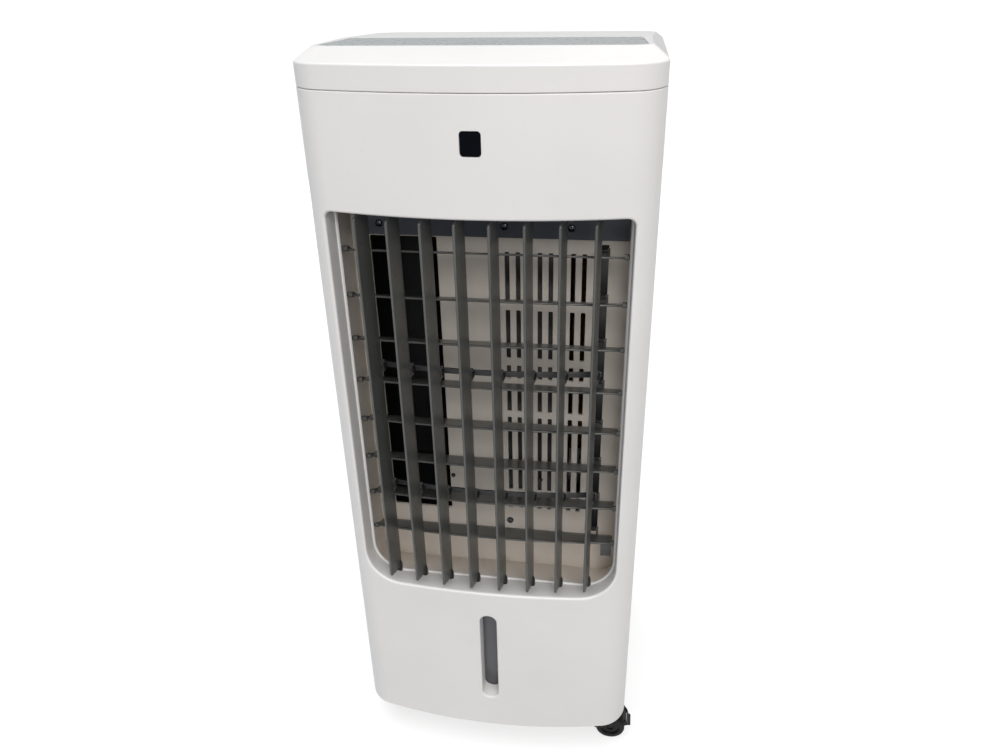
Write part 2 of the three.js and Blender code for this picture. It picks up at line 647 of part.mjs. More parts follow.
function blowerHousing() {
  const { left, right, front, rear } = BLOWER_BOX;
  const wall = 2.5;
  const throat = box(NOZZLE_LEFT - 2, NOZZLE_RIGHT + 2, front - 1, front + wall + 1,
    NOZZLE_LOW - 4, NOZZLE_HIGH + 4);
  const intake = box(left + 30, right - 14, rear - wall - 1, rear + 1, BLOWER_LOW + 12, BLOWER_HIGH - 12);
  const tongue = prismZ(polygon([[NOZZLE_RIGHT + 3, front + 1], [right - 1, front + 1],
    [BLOWER_X + 26, BLOWER_Y - BLOWER_RADIUS - 2], [BLOWER_X, BLOWER_Y - BLOWER_RADIUS - 4]]),
  BLOWER_LOW + 1, BLOWER_HIGH - 1);
  return box(left, right, front, rear, BLOWER_LOW, BLOWER_HIGH)
    .subtract(box(left + wall, right - wall, front + wall, rear - wall,
      BLOWER_LOW + wall, BLOWER_HIGH - wall))
    .add(tongue)
    .subtract(throat)
    .subtract(intake)
    .subtract(rodZ(6, BLOWER_X, BLOWER_Y, BLOWER_LOW - 1, BLOWER_HIGH + 1, MEDIUM));
}
place('blower_housing', blowerHousing(), mouldedBlack);

function blowerWheel() {
  const low = BLOWER_LOW + 6;
  const high = BLOWER_HIGH - 6;
  const vanes = 14;
  const discs = [0, 0.5, 1].map((t) => {
    const z = low + t * (high - low - 2);
    return rodZ(BLOWER_RADIUS, BLOWER_X, BLOWER_Y, z, z + 2, LARGE);
  });
  const parts = [...discs, rodZ(4, BLOWER_X, BLOWER_Y, BLOWER_LOW - 3, BLOWER_HIGH + 24)];
  for (let i = 0; i < vanes; i += 1) {
    const vane = new THREE.BoxGeometry(1.6, 11, high - low - 1);
    vane.rotateZ(0.6).translate(0, BLOWER_RADIUS - 7, (low + high) / 2).rotateZ(2 * Math.PI * i / vanes);
    parts.push(solid(vane.translate(BLOWER_X, BLOWER_Y, 0)));
  }
  return join(parts);
}
place('blower_wheel', blowerWheel(), linkBlack);
place('blower_motor', rodZ(38, BLOWER_X, BLOWER_Y, BLOWER_HIGH + GAP, BLOWER_HIGH + 44, LARGE)
  .subtract(rodZ(4.6, BLOWER_X, BLOWER_Y, BLOWER_HIGH - 1, BLOWER_HIGH + 30)), motorSteel);

// ---------------------------------------------------------------- rear grille, filter and pad
function rearGrille() {
  const border = 10;
  const frame = box(-GRILLE_HALF, GRILLE_HALF, 124, REAR_Y, GRILLE_LOW, GRILLE_HIGH)
    .subtract(box(-GRILLE_HALF + border, GRILLE_HALF - border, 120, 140,
      GRILLE_LOW + border, GRILLE_HIGH - border));
  const parts = [frame];
  const slats = 19;
  const step = (GRILLE_HIGH - GRILLE_LOW - 2 * border) / (slats + 1);
  for (let i = 1; i <= slats; i += 1) {
    const z = GRILLE_LOW + border + i * step;
    parts.push(box(-GRILLE_HALF + 5, GRILLE_HALF - 5, 128, 133.5, z - 1.8, z + 1.8));
  }
  parts.push(box(-2, 2, 126, 132, GRILLE_LOW + 5, GRILLE_HIGH - 5));
  return join(parts);
}
place('rear_grille', rearGrille(), shellWhite);
place('dust_filter', box(-GRILLE_HALF + 2, GRILLE_HALF - 2, 121.5, 123.6,
  GRILLE_LOW + 2, GRILLE_HIGH - 2), netGrey);
place('cooling_pad', box(-GRILLE_HALF + 4, GRILLE_HALF - 4, 96, 121,
  GRILLE_LOW + 3, GRILLE_HIGH - 6), padBrown);

// ---------------------------------------------------------------- water system
function waterTray() {
  const low = GRILLE_HIGH + 3;
  return box(-104, 104, 92, 122, low, low + 18)
    .subtract(box(-101.6, 101.6, 94.4, 119.6, low + 2.4, low + 19))
    .subtract(join([-80, -40, 0, 40, 80].map((x) => rodZ(2.2, x, 110, low - 1, low + 4))));
}
place('water_tray', waterTray(), ductWhite);

const TANK_WALL = 2.6;
const FASCIA_Y = 128;
const FASCIA_DEEP = 14;
const GRIP_FLOOR_Y = 118;
const GRIP_HALF = 46;
const GRIP_LOW = 116;
const LEDGE_LOW = 152;
// The tank's face has a grip under a ledge, which the turned latch overlaps.
function waterTank() {
  const fascia = box(-TANK_HALF, TANK_HALF, FASCIA_Y, REAR_Y - 0.2, TANK_LOW, TANK_HIGH);
  const tub = box(-TANK_HALF, TANK_HALF, TANK_FRONT_Y, FASCIA_Y + 1, TANK_LOW, TANK_HIGH);
  const inside = box(-TANK_HALF + TANK_WALL, TANK_HALF - TANK_WALL,
    TANK_FRONT_Y + TANK_WALL, FASCIA_Y - FASCIA_DEEP, TANK_LOW + TANK_WALL, TANK_HIGH + 1);
  const grip = box(-GRIP_HALF, GRIP_HALF, GRIP_FLOOR_Y, 140, GRIP_LOW, LEDGE_LOW);
  const ledge = box(-TANK_HALF - 1, TANK_HALF + 1, LATCH_SEAT_Y, 140, LEDGE_LOW, TANK_HIGH + 1);
  return tub.add(fascia).subtract(inside).subtract(grip).subtract(ledge);
}
place('water_tank', waterTank(), tankClear);
place('tank_latch', prismY(roundedBox(16, LATCH_Z - 5, LATCH_Z + 5, 4.9), LATCH_SEAT_Y + 0.7, 133.4)
  .add(rodY(4, 0, LATCH_Z, 133, 134.8)), buttonGrey);

const PUMP_X = 70;
const PUMP_Y = 60;
place('water_pump', box(PUMP_X - 22, PUMP_X + 22, PUMP_Y - 18, PUMP_Y + 18, TANK_LOW + 3, TANK_LOW + 43)
  .add(rodZ(6, PUMP_X, PUMP_Y, TANK_LOW + 40, TANK_HIGH - 4)), mouldedBlack);

function waterHose() {
  const points = [
    new THREE.Vector3(PUMP_X, PUMP_Y, TANK_HIGH + 2),
    new THREE.Vector3(PUMP_X, PUMP_Y, TANK_HIGH + 26),
    new THREE.Vector3(PUMP_X + 18, PUMP_Y + 16, TANK_HIGH + 90),
    new THREE.Vector3(PUMP_X + 20, PUMP_Y + 20, TANK_HIGH + 260),
    new THREE.Vector3(PUMP_X + 20, PUMP_Y + 20, GRILLE_HIGH + 6),
    new THREE.Vector3(PUMP_X + 18, PUMP_Y + 26, GRILLE_HIGH + 26),
    new THREE.Vector3(PUMP_X + 10, PUMP_Y + 40, GRILLE_HIGH + 28),
    new THREE.Vector3(PUMP_X + 8, PUMP_Y + 44, GRILLE_HIGH + 20),
  ];
  const path = new THREE.CatmullRomCurve3(points, false, 'centripetal');
  const section = new THREE.Shape().absarc(0, 0, 4, 0, 2 * Math.PI, false);
  const tube = new THREE.ExtrudeGeometry(section, { steps: 26, extrudePath: path, curveSegments: 4 });
  return solid(tube);
}
place('water_hose', waterHose(), hoseClear);

// ---------------------------------------------------------------- base and casters
const CASTERS = [
  { name: 'front_left', x: -CASTER_X, y: CASTER_FRONT_Y, turn: 90, brake: false },
  { name: 'front_right', x: CASTER_X, y: CASTER_FRONT_Y, turn: 0, brake: true },
  { name: 'rear_left', x: -CASTER_X, y: CASTER_REAR_Y, turn: 180, brake: true },
  { name: 'rear_right', x: CASTER_X, y: CASTER_REAR_Y, turn: 90, brake: false },
];
const STEM_RADIUS = 4;
const STEM_TOP = 50;

function basePlate() {
  const plate = prismZ(bodyOutline(WALL + GAP), BODY_BOTTOM, BODY_BOTTOM + 3);
  const sockets = CASTERS.map(({ x, y }) => rodZ(9, x, y, BODY_BOTTOM + 1, STEM_TOP + 3, MEDIUM));
  const bores = CASTERS.map(({ x, y }) => rodZ(STEM_RADIUS + 0.35, x, y, BODY_BOTTOM - 1, STEM_TOP + 1));
  return join([plate, ...sockets]).subtract(join(bores));
}
place('base_plate', basePlate(), mouldedBlack);

// Local frame of a caster: the stem on Z, the wheels trailing towards +X.
const HOOD_RADIUS = CASTER_WHEEL + 3;
const HOOD_HALF = 13.5;
function casterFork(brake) {
  const centreZ = CASTER_WHEEL;
  const dome = new THREE.Shape();
  dome.absarc(CASTER_TRAIL, 0, HOOD_RADIUS, 0, Math.PI, false);
  const turn = new THREE.Matrix4().set(1, 0, 0, 0, 0, 0, -1, 0, 0, 1, 0, centreZ, 0, 0, 0, 1);
  const hood = (radius, half) => solid(new THREE.CylinderGeometry(radius, radius, 2 * half, LARGE)
    .translate(CASTER_TRAIL, 0, centreZ));
  const upper = box(-20, 60, -30, 30, centreZ + 1, 60);
  const rib = solid(extrude(dome, 6, 5).translate(0, 0, -3).applyMatrix4(turn));
  const ribLow = solid(new THREE.CylinderGeometry(7, 7, 6, MEDIUM).translate(CASTER_TRAIL, 0, centreZ));
  let fork = hood(HOOD_RADIUS, HOOD_HALF).intersect(upper)
    .subtract(hood(CASTER_WHEEL + 1, HOOD_HALF - 1.4))
    .add(rib).add(ribLow)
    .add(rodZ(9, 0, 0, BODY_BOTTOM - 9, BODY_BOTTOM - GAP, MEDIUM)
      .subtract(hood(CASTER_WHEEL + 1, HOOD_HALF - 1.4)
      .subtract(box(-60, 60, -3, 3, 0, 60))))
    .add(rodZ(STEM_RADIUS, 0, 0, BODY_BOTTOM - 6, STEM_TOP))
    .subtract(rodY(2.9, CASTER_TRAIL, centreZ, -6, 6));
  if (brake) fork = fork.subtract(box(CASTER_TRAIL + 10, 60, -8, 8, centreZ + 0.5, centreZ + 13));
  return fork;
}

function casterWheels() {
  const r = CASTER_WHEEL;
  const face = [4, 11.4];
  const points = [[0, -face[1]], [r - 1.5, -face[1]], [r, -face[1] + 1.5], [r, -face[0]], [2.5, -face[0]],
    [2.5, face[0]], [r, face[0]], [r, face[1] - 1.5], [r - 1.5, face[1]], [0, face[1]]];
  const profile = points.map(([radius, along]) => new THREE.Vector2(radius, along));
  return solid(new THREE.LatheGeometry(profile, LARGE).translate(CASTER_TRAIL, 0, r));
}

function brakeLever() {
  const z = CASTER_WHEEL;
  const pad = polygon([[CASTER_TRAIL + 17.4, z + 2.5], [36, z + 1.5], [36, z + 4],
    [CASTER_TRAIL + 17.2, z + 9.5]]);
  const turn = new THREE.Matrix4().set(1, 0, 0, 0, 0, 0, -1, 0, 0, 1, 0, 0, 0, 0, 0, 1);
  return solid(extrude(pad, 14, 4).translate(0, 0, -7).applyMatrix4(turn));
}

for (const caster of CASTERS) {
  const holder = new THREE.Group();
  holder.position.set(caster.x, caster.y, 0);
  holder.rotation.z = THREE.MathUtils.degToRad(caster.turn);
  place(`caster_fork_${caster.name}`, casterFork(caster.brake), mouldedBlack, holder);
  place(`caster_wheels_${caster.name}`, casterWheels(), mouldedBlack, holder);
  if (caster.brake) place(`brake_lever_${caster.name}`, brakeLever(), mouldedBlack, holder);
  cooler.add(holder);
}

export default cooler;
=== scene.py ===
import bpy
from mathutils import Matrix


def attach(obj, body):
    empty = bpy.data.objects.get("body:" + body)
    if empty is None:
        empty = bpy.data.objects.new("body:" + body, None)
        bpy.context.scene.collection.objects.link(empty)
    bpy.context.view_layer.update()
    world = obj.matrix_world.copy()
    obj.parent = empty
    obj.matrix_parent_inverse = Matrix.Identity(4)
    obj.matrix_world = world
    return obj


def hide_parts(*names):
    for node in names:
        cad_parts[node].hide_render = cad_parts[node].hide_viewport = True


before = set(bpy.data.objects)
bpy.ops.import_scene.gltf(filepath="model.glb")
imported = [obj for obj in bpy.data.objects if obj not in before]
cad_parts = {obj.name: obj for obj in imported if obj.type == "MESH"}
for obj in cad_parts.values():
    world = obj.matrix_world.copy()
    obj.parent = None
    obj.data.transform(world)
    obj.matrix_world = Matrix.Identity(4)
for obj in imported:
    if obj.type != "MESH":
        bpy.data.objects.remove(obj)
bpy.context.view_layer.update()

# A portable evaporative air cooler, with its front towards -Y.
# Shapes are made in millimetres and scaled to metres once, in Kit.make.
import random
from math import acos, asin, atan2, ceil, copysign, cos, dist, pi, radians, sin, sqrt, tan, tau

import bmesh
import bpy
import numpy as np
from mathutils import Matrix, Vector
from mathutils.geometry import delaunay_2d_cdt

MM = 0.001

# ---- dimensions, as in the CAD part
HALF, FRONT_Y, REAR_Y = 140.0, -135.0, 135.0
SAG, FRONT_CORNER, REAR_CORNER = 17.2, 30.0, 24.0
WALL, GAP = 2.6, 0.4
BODY_BOTTOM, SEAM_Z, CAP_EDGE_Z, TOP_Z = 36.0, 687.0, 706.0, 714.0
SPLIT_Y = -70.0

OUTLET_HALF, OUTLET_LOW, OUTLET_HIGH = 122.8, 219.3, 594.0
OUTLET_TOP_CORNER, OUTLET_LOW_CORNER = 7.0, 34.0
RIM_Y, RIM_HALF, RIM_DROP, RIM_RISE = -98.0, 121.0, 9.6, 1.5
REVEAL_FRONT_Y, REVEAL_WALL = -131.0, 2.2

GAUGE_HALF, GAUGE_LOW, GAUGE_HIGH, GAUGE_FLOOR_Y = 8.3, 76.6, 190.6, -118.0
DISPLAY_HALF, DISPLAY_LOW, DISPLAY_HIGH, DISPLAY_CORNER = 7.7, 642.3, 660.4, 2.5
DISPLAY_FRONT_Y, DISPLAY_BACK_Y = -134.0, -126.0

DUCT_HALF, DUCT_WALL, DUCT_BACK_Y = 123.5, 2.4, -55.8
DUCT_FLOOR_BACK, DUCT_TOP = 194.6, 597.5
NOZZLE = (-108.0, -48.0, 260.6, 553.0)
SLOT_FIRST_X, SLOT_PAIR_PITCH, SLOT_PAIR_GAP, SLOT_HALF = 13.9, 28.9, 9.6, 2.0
SLOT_SPANS = ((266, 283), (288.5, 374), (380.5, 409), (416, 430), (437.5, 486), (493.5, 541))
RAIL_LOW = 555.0
RAIL_SCREWS = (-97.0, 12.8, 70.0)
WALL_SCREWS = ((12.7, 250.0, 3.4), (-44.8, 301.5, 2.2), (43.8, 303.0, 2.2))

BLADE_COUNT, BLADE_PITCH, BLADE_INSET = 8, 27.3, 2.8
BLADE_FRONT, BLADE_REAR = 21.0, 5.5
BLADE_TOP, BLADE_TIP, BLADE_SLOPE = 590.0, 221.9, 0.29
BLADE_REST = radians(-7.4)
LINK_ARM, LINK_HEIGHTS = 8.9, (444.5, 315.0)

SLAT_COUNT, SLAT_TOP_Z, SLAT_PITCH = 8, 554.0, 41.85
SLAT_PIN_Y, SLAT_CLEARANCE, SLAT_REAR, SLAT_HALF = -93.8, 1.5, 24.0, 117.5
SLAT_REST = radians(-20)
TILT_LINK_X, TILT_ARM, TILT_DROP = 98.5, 25.9, 4.0

PLATEAU_HALF, PLATEAU_FRONT, PLATEAU_REAR, PLATEAU_EASE = 128.0, -98.0, 124.0, 1.6
TOP_FALL, REAR_FALL, CREASE_Y = 0.045, 0.08, -14.0
PANEL_HALF, PANEL_FRONT, PANEL_REAR, PANEL_CORNER, PANEL_SLANT = 124.0, -94.0, -18.0, 12.0, 4.0
BUTTON_PITCH, BUTTON_RADIUS, BUTTON_Y = 24.0, 6.5, -75.0
BUTTONS = ("power", "speed", "swing", "cool", "timer")

GRILLE_HALF, GRILLE_LOW, GRILLE_HIGH = 112.0, 240.0, 650.0
GRILLE_BORDER, GRILLE_BACK_Y, GRILLE_BLADES, GRILLE_BLADE_Y = 10.0, 124.0, 19, 130.7
NET_BORDER, NET_PITCH, NET_WIRE = 5, 3.4, 0.32
PAD_FRONT_Y, PAD_BACK_Y, PAD_LAYERS, FLUTE = 96.0, 121.0, 50, 13
TANK_HALF, TANK_FRONT_Y, TANK_LOW, TANK_HIGH = 116.0, -111.0, 60.0, 190.0
GRIP_FLOOR_Y, GRIP_HALF, GRIP_LOW, LEDGE_LOW = 118.0, 46.0, 116.0, 152.0
LATCH_SEAT_Y, LATCH_Z = 128.8, 199.0
GLAND_X, GLAND_Z, GLAND_CUP, GLAND_FLOOR_Y = -92.0, 216.0, 13.0, 127.0

WHEEL, TRAIL = 15.5, 14.0
CASTERS = (
    ("front_left", -112.0, -96.0, 90, False),
    ("front_right", 112.0, -96.0, 0, True),
    ("rear_left", -112.0, 98.0, 180, True),
    ("rear_right", 112.0, 98.0, 90, False),
)

FRONT_RADIUS = (HALF ** 2 + SAG ** 2) / (2 * SAG)
FRONT_CENTRE_Y = FRONT_Y + FRONT_RADIUS
CORNER_X = HALF - FRONT_CORNER
CORNER_Y = FRONT_CENTRE_Y - sqrt((FRONT_RADIUS - FRONT_CORNER) ** 2 - CORNER_X ** 2)
CORNER_TURN = atan2(CORNER_X, FRONT_CENTRE_Y - CORNER_Y)

UP = Vector((0, 0, 1))
FORWARD, BACKWARD = Vector((0, -1, 0)), Vector((0, 1, 0))


def linear(r, g, b):
    """An 8-bit sRGB colour as the linear RGBA that a shader takes."""
    def one(c):
        c /= 255
        return c / 12.92 if c <= 0.04045 else ((c + 0.055) / 1.055) ** 2.4
    return (one(r), one(g), one(b), 1.0)


# ---- materials
def new_material(name):
    material = bpy.data.materials.new(name)
    material.use_nodes = True
    nodes = material.node_tree.nodes
    return material, nodes, material.node_tree.links, nodes["Principled BSDF"]


def settle(node, **values):
    """Sets a node's inputs by name, with _ for each space in the name."""
    for name, value in values.items():
        node.inputs[name.replace("_", " ")].default_value = value
    return node


def noise(nodes, links, vector, scale, detail=3.0, roughness=0.5):
    node = settle(nodes.new("ShaderNodeTexNoise"), Scale=scale, Detail=detail, Roughness=roughness)
    links.new(vector, node.inputs["Vector"])
    return node.outputs["Fac"]


def remap(nodes, links, value, low, high, start=0.3, end=0.7):
    node = settle(nodes.new("ShaderNodeMapRange"), From_Min=start, From_Max=end, To_Min=low, To_Max=high)
    links.new(value, node.inputs["Value"])
    return node.outputs["Result"]


def mix_colour(nodes, links, factor, first, second):
    node = nodes.new("ShaderNodeMix")
    node.data_type = "RGBA"
    links.new(factor, node.inputs["Factor"])
    for value, socket in ((first, node.inputs["A"]), (second, node.inputs["B"])):
        if isinstance(value, tuple):
            socket.default_value = value
        else:
            links.new(value, socket)
    return node.outputs["Result"]


def roughen(nodes, links, shader, height, strength, distance):
    bump = settle(nodes.new("ShaderNodeBump"), Strength=strength, Distance=distance)
    links.new(height, bump.inputs["Height"])
    links.new(bump.outputs["Normal"], shader.inputs["Normal"])


def darker(colour, share):
    return tuple(share * c for c in colour[:3]) + (1.0,)


def moulded(name, colour, other, roughness, grain, bump, specular=0.5, coat=0.0):
    """Moulded plastic: cloudy colour, uneven gloss, a fine grain and a few scuffs."""
    material, nodes, links, shader = new_material(name)
    colour, other = linear(*colour), linear(*other)
    where = nodes.new("ShaderNodeTexCoord").outputs["Object"]
    cloud = noise(nodes, links, where, 9.0, 4.0)
    fine = noise(nodes, links, where, grain, 2.0)
    speck = noise(nodes, links, where, 140.0, 5.0, 0.7)
    tint = mix_colour(nodes, links, remap(nodes, links, cloud, 0.0, 1.0), colour, other)
    worn = remap(nodes, links, speck, 0.0, 0.35, 0.62, 0.80)
    links.new(mix_colour(nodes, links, worn, tint, darker(other, 0.86)), shader.inputs["Base Color"])
    links.new(remap(nodes, links, speck, *roughness), shader.inputs["Roughness"])
    settle(shader, Specular_IOR_Level=specular, Coat_Weight=coat, Coat_Roughness=0.12)
    roughen(nodes, links, shader, fine, bump, 0.0004)
    return material


def metal(name, colour, roughness=(0.22, 0.38)):
    """Plated steel with fine turning marks."""
    material, nodes, links, shader = new_material(name)
    colour = linear(*colour)
    where = nodes.new("ShaderNodeTexCoord").outputs["Object"]
    speck = noise(nodes, links, where, 420.0, 4.0, 0.6)
    links.new(mix_colour(nodes, links, speck, colour, darker(colour, 0.6)), shader.inputs["Base Color"])
    links.new(remap(nodes, links, speck, *roughness), shader.inputs["Roughness"])
    settle(shader, Metallic=1.0)
    roughen(nodes, links, shader, speck, 0.1, 0.0003)
    return material


SHELL = moulded("shell_white", (229, 228, 227), (224, 223, 223), (0.34, 0.46), 1400.0, 0.05)
DUCT = moulded("duct_white", (233, 226, 218), (224, 216, 207), (0.48, 0.62), 700.0, 0.12)
LOUVRE = moulded("louvre_grey", (84, 85, 83), (72, 74, 73), (0.27, 0.33), 1100.0, 0.03)
BLACK = moulded("black_plastic", (34, 35, 37), (24, 25, 27), (0.30, 0.48), 900.0, 0.10)
RAIL = moulded("rail_slate", (112, 117, 128), (98, 103, 114), (0.3, 0.42), 800.0, 0.10)
PANEL = moulded("panel_grey", (184, 189, 191), (176, 181, 183), (0.24, 0.34), 1000.0, 0.02, coat=0.3)
BUTTON = moulded("button_grey", (176, 180, 182), (160, 165, 168), (0.35, 0.48), 1500.0, 0.08)
GLOSS = moulded("gloss_black", (9, 13, 20), (4, 6, 10), (0.05, 0.12), 500.0, 0.02, specular=0.03)
GAUGE = moulded("smoked_window", (76, 77, 81), (66, 67, 71), (0.16, 0.28), 600.0, 0.05, coat=0.25)
BOARD = moulded("board_green", (38, 86, 56), (28, 70, 44), (0.35, 0.5), 700.0, 0.15)
HOSE = moulded("hose_clear", (205, 208, 202), (186, 190, 184), (0.2, 0.3), 500.0, 0.05)
TANK = moulded("tank_milk", (206, 213, 218), (190, 198, 205), (0.2, 0.32), 600.0, 0.05)
TYRE = moulded("caster_black", (16, 16, 17), (8, 8, 9), (0.34, 0.5), 800.0, 0.12, specular=0.2)
PAD = moulded("pad_cellulose", (168, 132, 86), (120, 90, 56), (0.8, 0.95), 420.0, 0.6, specular=0.2)
NET = moulded("net_nylon", (60, 64, 68), (44, 47, 51), (0.6, 0.75), 900.0, 0.2)
STEEL = metal("motor_steel", (168, 170, 172))
SCREW = metal("screw_dark", (96, 98, 102), (0.12, 0.26))


# ---- mesh building
def show(name, data):
    """Puts a new object in the scene."""
    thing = bpy.data.objects.new(name, data)
    bpy.context.scene.collection.objects.link(thing)
    return thing


class Kit:
    """Points in millimetres, with faces and the normals of their corners where they matter."""

    def __init__(self):
        self.points, self.faces, self.normals, self.paints = [], [], [], []
        self.paint = 0

    def add(self, points):
        first = len(self.points)
        self.points.extend(Vector(p) for p in points)
        return list(range(first, len(self.points)))

    def face(self, corners, normals=None):
        self.faces.append(list(corners))
        self.normals.append(list(normals) if normals else None)
        self.paints.append(self.paint)

    def strip(self, a, b, na=None, nb=None, closed=True):
        """Quads between two rings of the same length; na and nb are the rings' normals."""
        count = len(a)
        for i in range(count if closed else count - 1):
            j = (i + 1) % count
            normals = [na[i], na[j], nb[j], nb[i]] if na else None
            self.face([a[i], a[j], b[j], b[i]], normals)

    def loft(self, rings, caps=True, closed=True):
        ids = [self.add(ring) for ring in rings]
        for a, b in zip(ids, ids[1:]):
            self.strip(a, b, closed=closed)
        if caps:
            self.face(ids[0])
            self.face(ids[-1])
        return ids

    def sweep(self, rings):
        """A closed loop of rings, such as a torus."""
        ids = [self.add(ring) for ring in rings]
        for a, b in zip(ids, ids[1:] + ids[:1]):
            self.strip(a, b)

    def box(self, x0, x1, y0, y1, z0, z1):
        low = [(x0, y0, z0), (x1, y0, z0), (x1, y1, z0), (x0, y1, z0)]
        high = [(x, y, z1) for x, y, z in low]
        self.loft([low, high])

    def prism(self, outline, low, high, axis="z"):
        """A flat outline raised along an axis: z takes (x, y), x takes (y, z), y takes (x, z)."""
        place = {
            "z": lambda u, v, w: (u, v, w),
            "x": lambda u, v, w: (w, u, v),
            "y": lambda u, v, w: (u, w, v),
        }[axis]
        self.loft([[place(u, v, w) for u, v in outline] for w in (low, high)])

    def lathe(self, profile, centre=(0, 0, 0), axis="z", sides=32):
        """Turns (radius, along) points round an axis; both ends are closed on it."""
        rings = []
        for radius, along in profile:
            ring = []
            for i in range(sides):
                a = tau * i / sides
                c, s = radius * cos(a), radius * sin(a)
                offset = {"z": (c, s, along), "y": (c, along, s), "x": (along, c, s)}[axis]
                ring.append(Vector(offset) + Vector(centre))
            rings.append(ring)
        self.loft(rings)

    def lean(self, from_y, fall):
        """Drops each point by its distance behind from_y, and turns the given normals to suit."""
        for p in self.points:
            p.z -= fall * (p.y - from_y)
        for corners in self.normals:
            for i, n in enumerate(corners or ()):
                corners[i] = Vector((n.x, n.y + fall * n.z, n.z)).normalized()

    def transform(self, matrix):
        self.points = [matrix @ p for p in self.points]

    def make(self, name, materials, body, replaces=(), sharp=32.0, bevel=0.0, segments=2):
        mesh = bpy.data.meshes.new(name)
        mesh.from_pydata([p * MM for p in self.points], [], self.faces)
        for material in materials:
            mesh.materials.append(material)
        mesh.polygons.foreach_set("material_index", self.paints)
        work = bmesh.new()
        work.from_mesh(mesh)
        bmesh.ops.recalc_face_normals(work, faces=work.faces)
        work.to_mesh(mesh)
        work.free()
        mesh.shade_smooth()
        mesh.set_sharp_from_angle(angle=radians(sharp))
        self.set_normals(mesh)
        thing = show(name, mesh)
        if bevel:
            soften(thing, bevel, segments)
        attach(thing, body)
        if replaces:
            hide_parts(*replaces)
        return thing

    def set_normals(self, mesh):
        if not any(self.normals):
            return
        loops = [(0.0, 0.0, 0.0)] * len(mesh.loops)
        for polygon, corners, normals in zip(mesh.polygons, self.faces, self.normals):
            if normals is None:
                continue
            at = dict(zip(corners, normals))
            for loop in polygon.loop_indices:
                loops[loop] = tuple(at[mesh.loops[loop].vertex_index])
        mesh.normals_split_custom_set(loops)


def soften(thing, width, segments=2):
    """Rounds an object's edges by a width in millimetres."""
    bevel = thing.modifiers.new("edges", "BEVEL")
    bevel.width = width * MM
    bevel.segments = segments
    bevel.limit_method = "ANGLE"
    bevel.angle_limit = radians(35.0)
    bevel.use_clamp_overlap = True
    bevel.harden_normals = True


def arc(cx, cy, radius, start, end, steps):
    return [
        (cx + radius * cos(start + (end - start) * i / steps),
         cy + radius * sin(start + (end - start) * i / steps))
        for i in range(steps + 1)
    ]


def spread(a, b, step):
    """Points between two ends, both left out, no further apart than step."""
    count = max(1, ceil(dist(a, b) / step))
    return [tuple(p + (q - p) * i / count for p, q in zip(a, b)) for i in range(1, count)]


def round_loop(x0, x1, z0, z1, low_corner, high_corner, step=6.0, corner_step=2.5):
    """An upright rectangle with round corners, anticlockwise, as (x, z, outward x, outward z)."""
    corners = [
        (x0 + low_corner, z0 + low_corner, low_corner, pi),
        (x1 - low_corner, z0 + low_corner, low_corner, 1.5 * pi),
        (x1 - high_corner, z1 - high_corner, high_corner, 0.0),
        (x0 + high_corner, z1 - high_corner, high_corner, 0.5 * pi),
    ]
    loop = []
    for k, (cx, cz, radius, start) in enumerate(corners):
        steps = max(3, ceil(radius * pi / 2 / corner_step))
        for i in range(steps + 1):
            a = start + pi / 2 * i / steps
            loop.append((cx + radius * cos(a), cz + radius * sin(a), cos(a), sin(a)))
        nx, nz, next_radius, next_start = corners[(k + 1) % 4]
        here = loop[-1]
        there = (nx + next_radius * cos(next_start), nz + next_radius * sin(next_start))
        loop += [(x, z, here[2], here[3]) for x, z in spread(here[:2], there, step)]
    return loop


def even_loop(half, low, high, corner, step, corner_step, grow=0.0):
    """A round_loop about the middle with four equal corners."""
    return round_loop(-half - grow, half + grow, low - grow, high + grow, corner + grow, corner + grow,
                      step, corner_step)


def bare(loop):
    """A round_loop without its directions."""
    return [place[:2] for place in loop]


def upright(loop, y):
    """A round_loop as points across y, and their outward directions."""
    return [Vector((x, y, z)) for x, z, _, _ in loop], [Vector((ox, 0, oz)) for _, _, ox, oz in loop]


def inside(points, loop):
    """Which points lie inside a closed loop."""
    found = np.zeros(len(points), bool)
    x, y = points[:, 0], points[:, 1]
    for (x0, y0), (x1, y1) in zip(loop, np.roll(loop, -1, axis=0)):
        if y0 == y1:
            continue
        cross = (y0 > y) != (y1 > y)
        found ^= cross & (x < (x1 - x0) * (y - y0) / (y1 - y0) + x0)
    return found


def fill(kit, loops, surface, columns, rows, clear=2.0):
    """Triangles over a surface between an outer loop and its holes.

    Each loop is (point numbers, flat places); surface(u, v) gives a point and its normal.
    """
    flats = [np.array(flat, float) for _, flat in loops]
    grid = np.array([(u, v) for u in columns for v in rows], float).reshape(-1, 2)
    keep = inside(grid, flats[0])
    for hole in flats[1:]:
        keep &= ~inside(grid, hole)
    grid = grid[keep]
    for flat in flats:
        if len(grid):
            gap = np.min(np.hypot(*(grid[:, None, :] - flat[None, :, :]).transpose(2, 0, 1)), axis=1)
            grid = grid[gap > clear]
    ids = [i for numbers, _ in loops for i in numbers]
    ids += kit.add([surface(u, v)[0] for u, v in grid])
    flat = [tuple(p) for part in flats for p in part] + [tuple(p) for p in grid]
    normals = [surface(u, v)[1] for u, v in flat]
    edges, base = [], 0
    for part in flats:
        count = len(part)
        edges += [(base + i, base + (i + 1) % count) for i in range(count)]
        base += count
    found = delaunay_2d_cdt([Vector(p) for p in flat], edges, [], 0, 1e-6, True)
    verts, triangles, origin = found[0], found[2], found[3]
    middles = np.array([sum((verts[i] for i in t), Vector((0, 0))) / 3 for t in triangles], float)
    good = inside(middles, flats[0])
    for hole in flats[1:]:
        good &= ~inside(middles, hole)
    for keep_it, triangle in zip(good, triangles):
        if keep_it:
            first = [origin[i][0] for i in triangle]
            kit.face([ids[i] for i in first], [normals[i] for i in first])


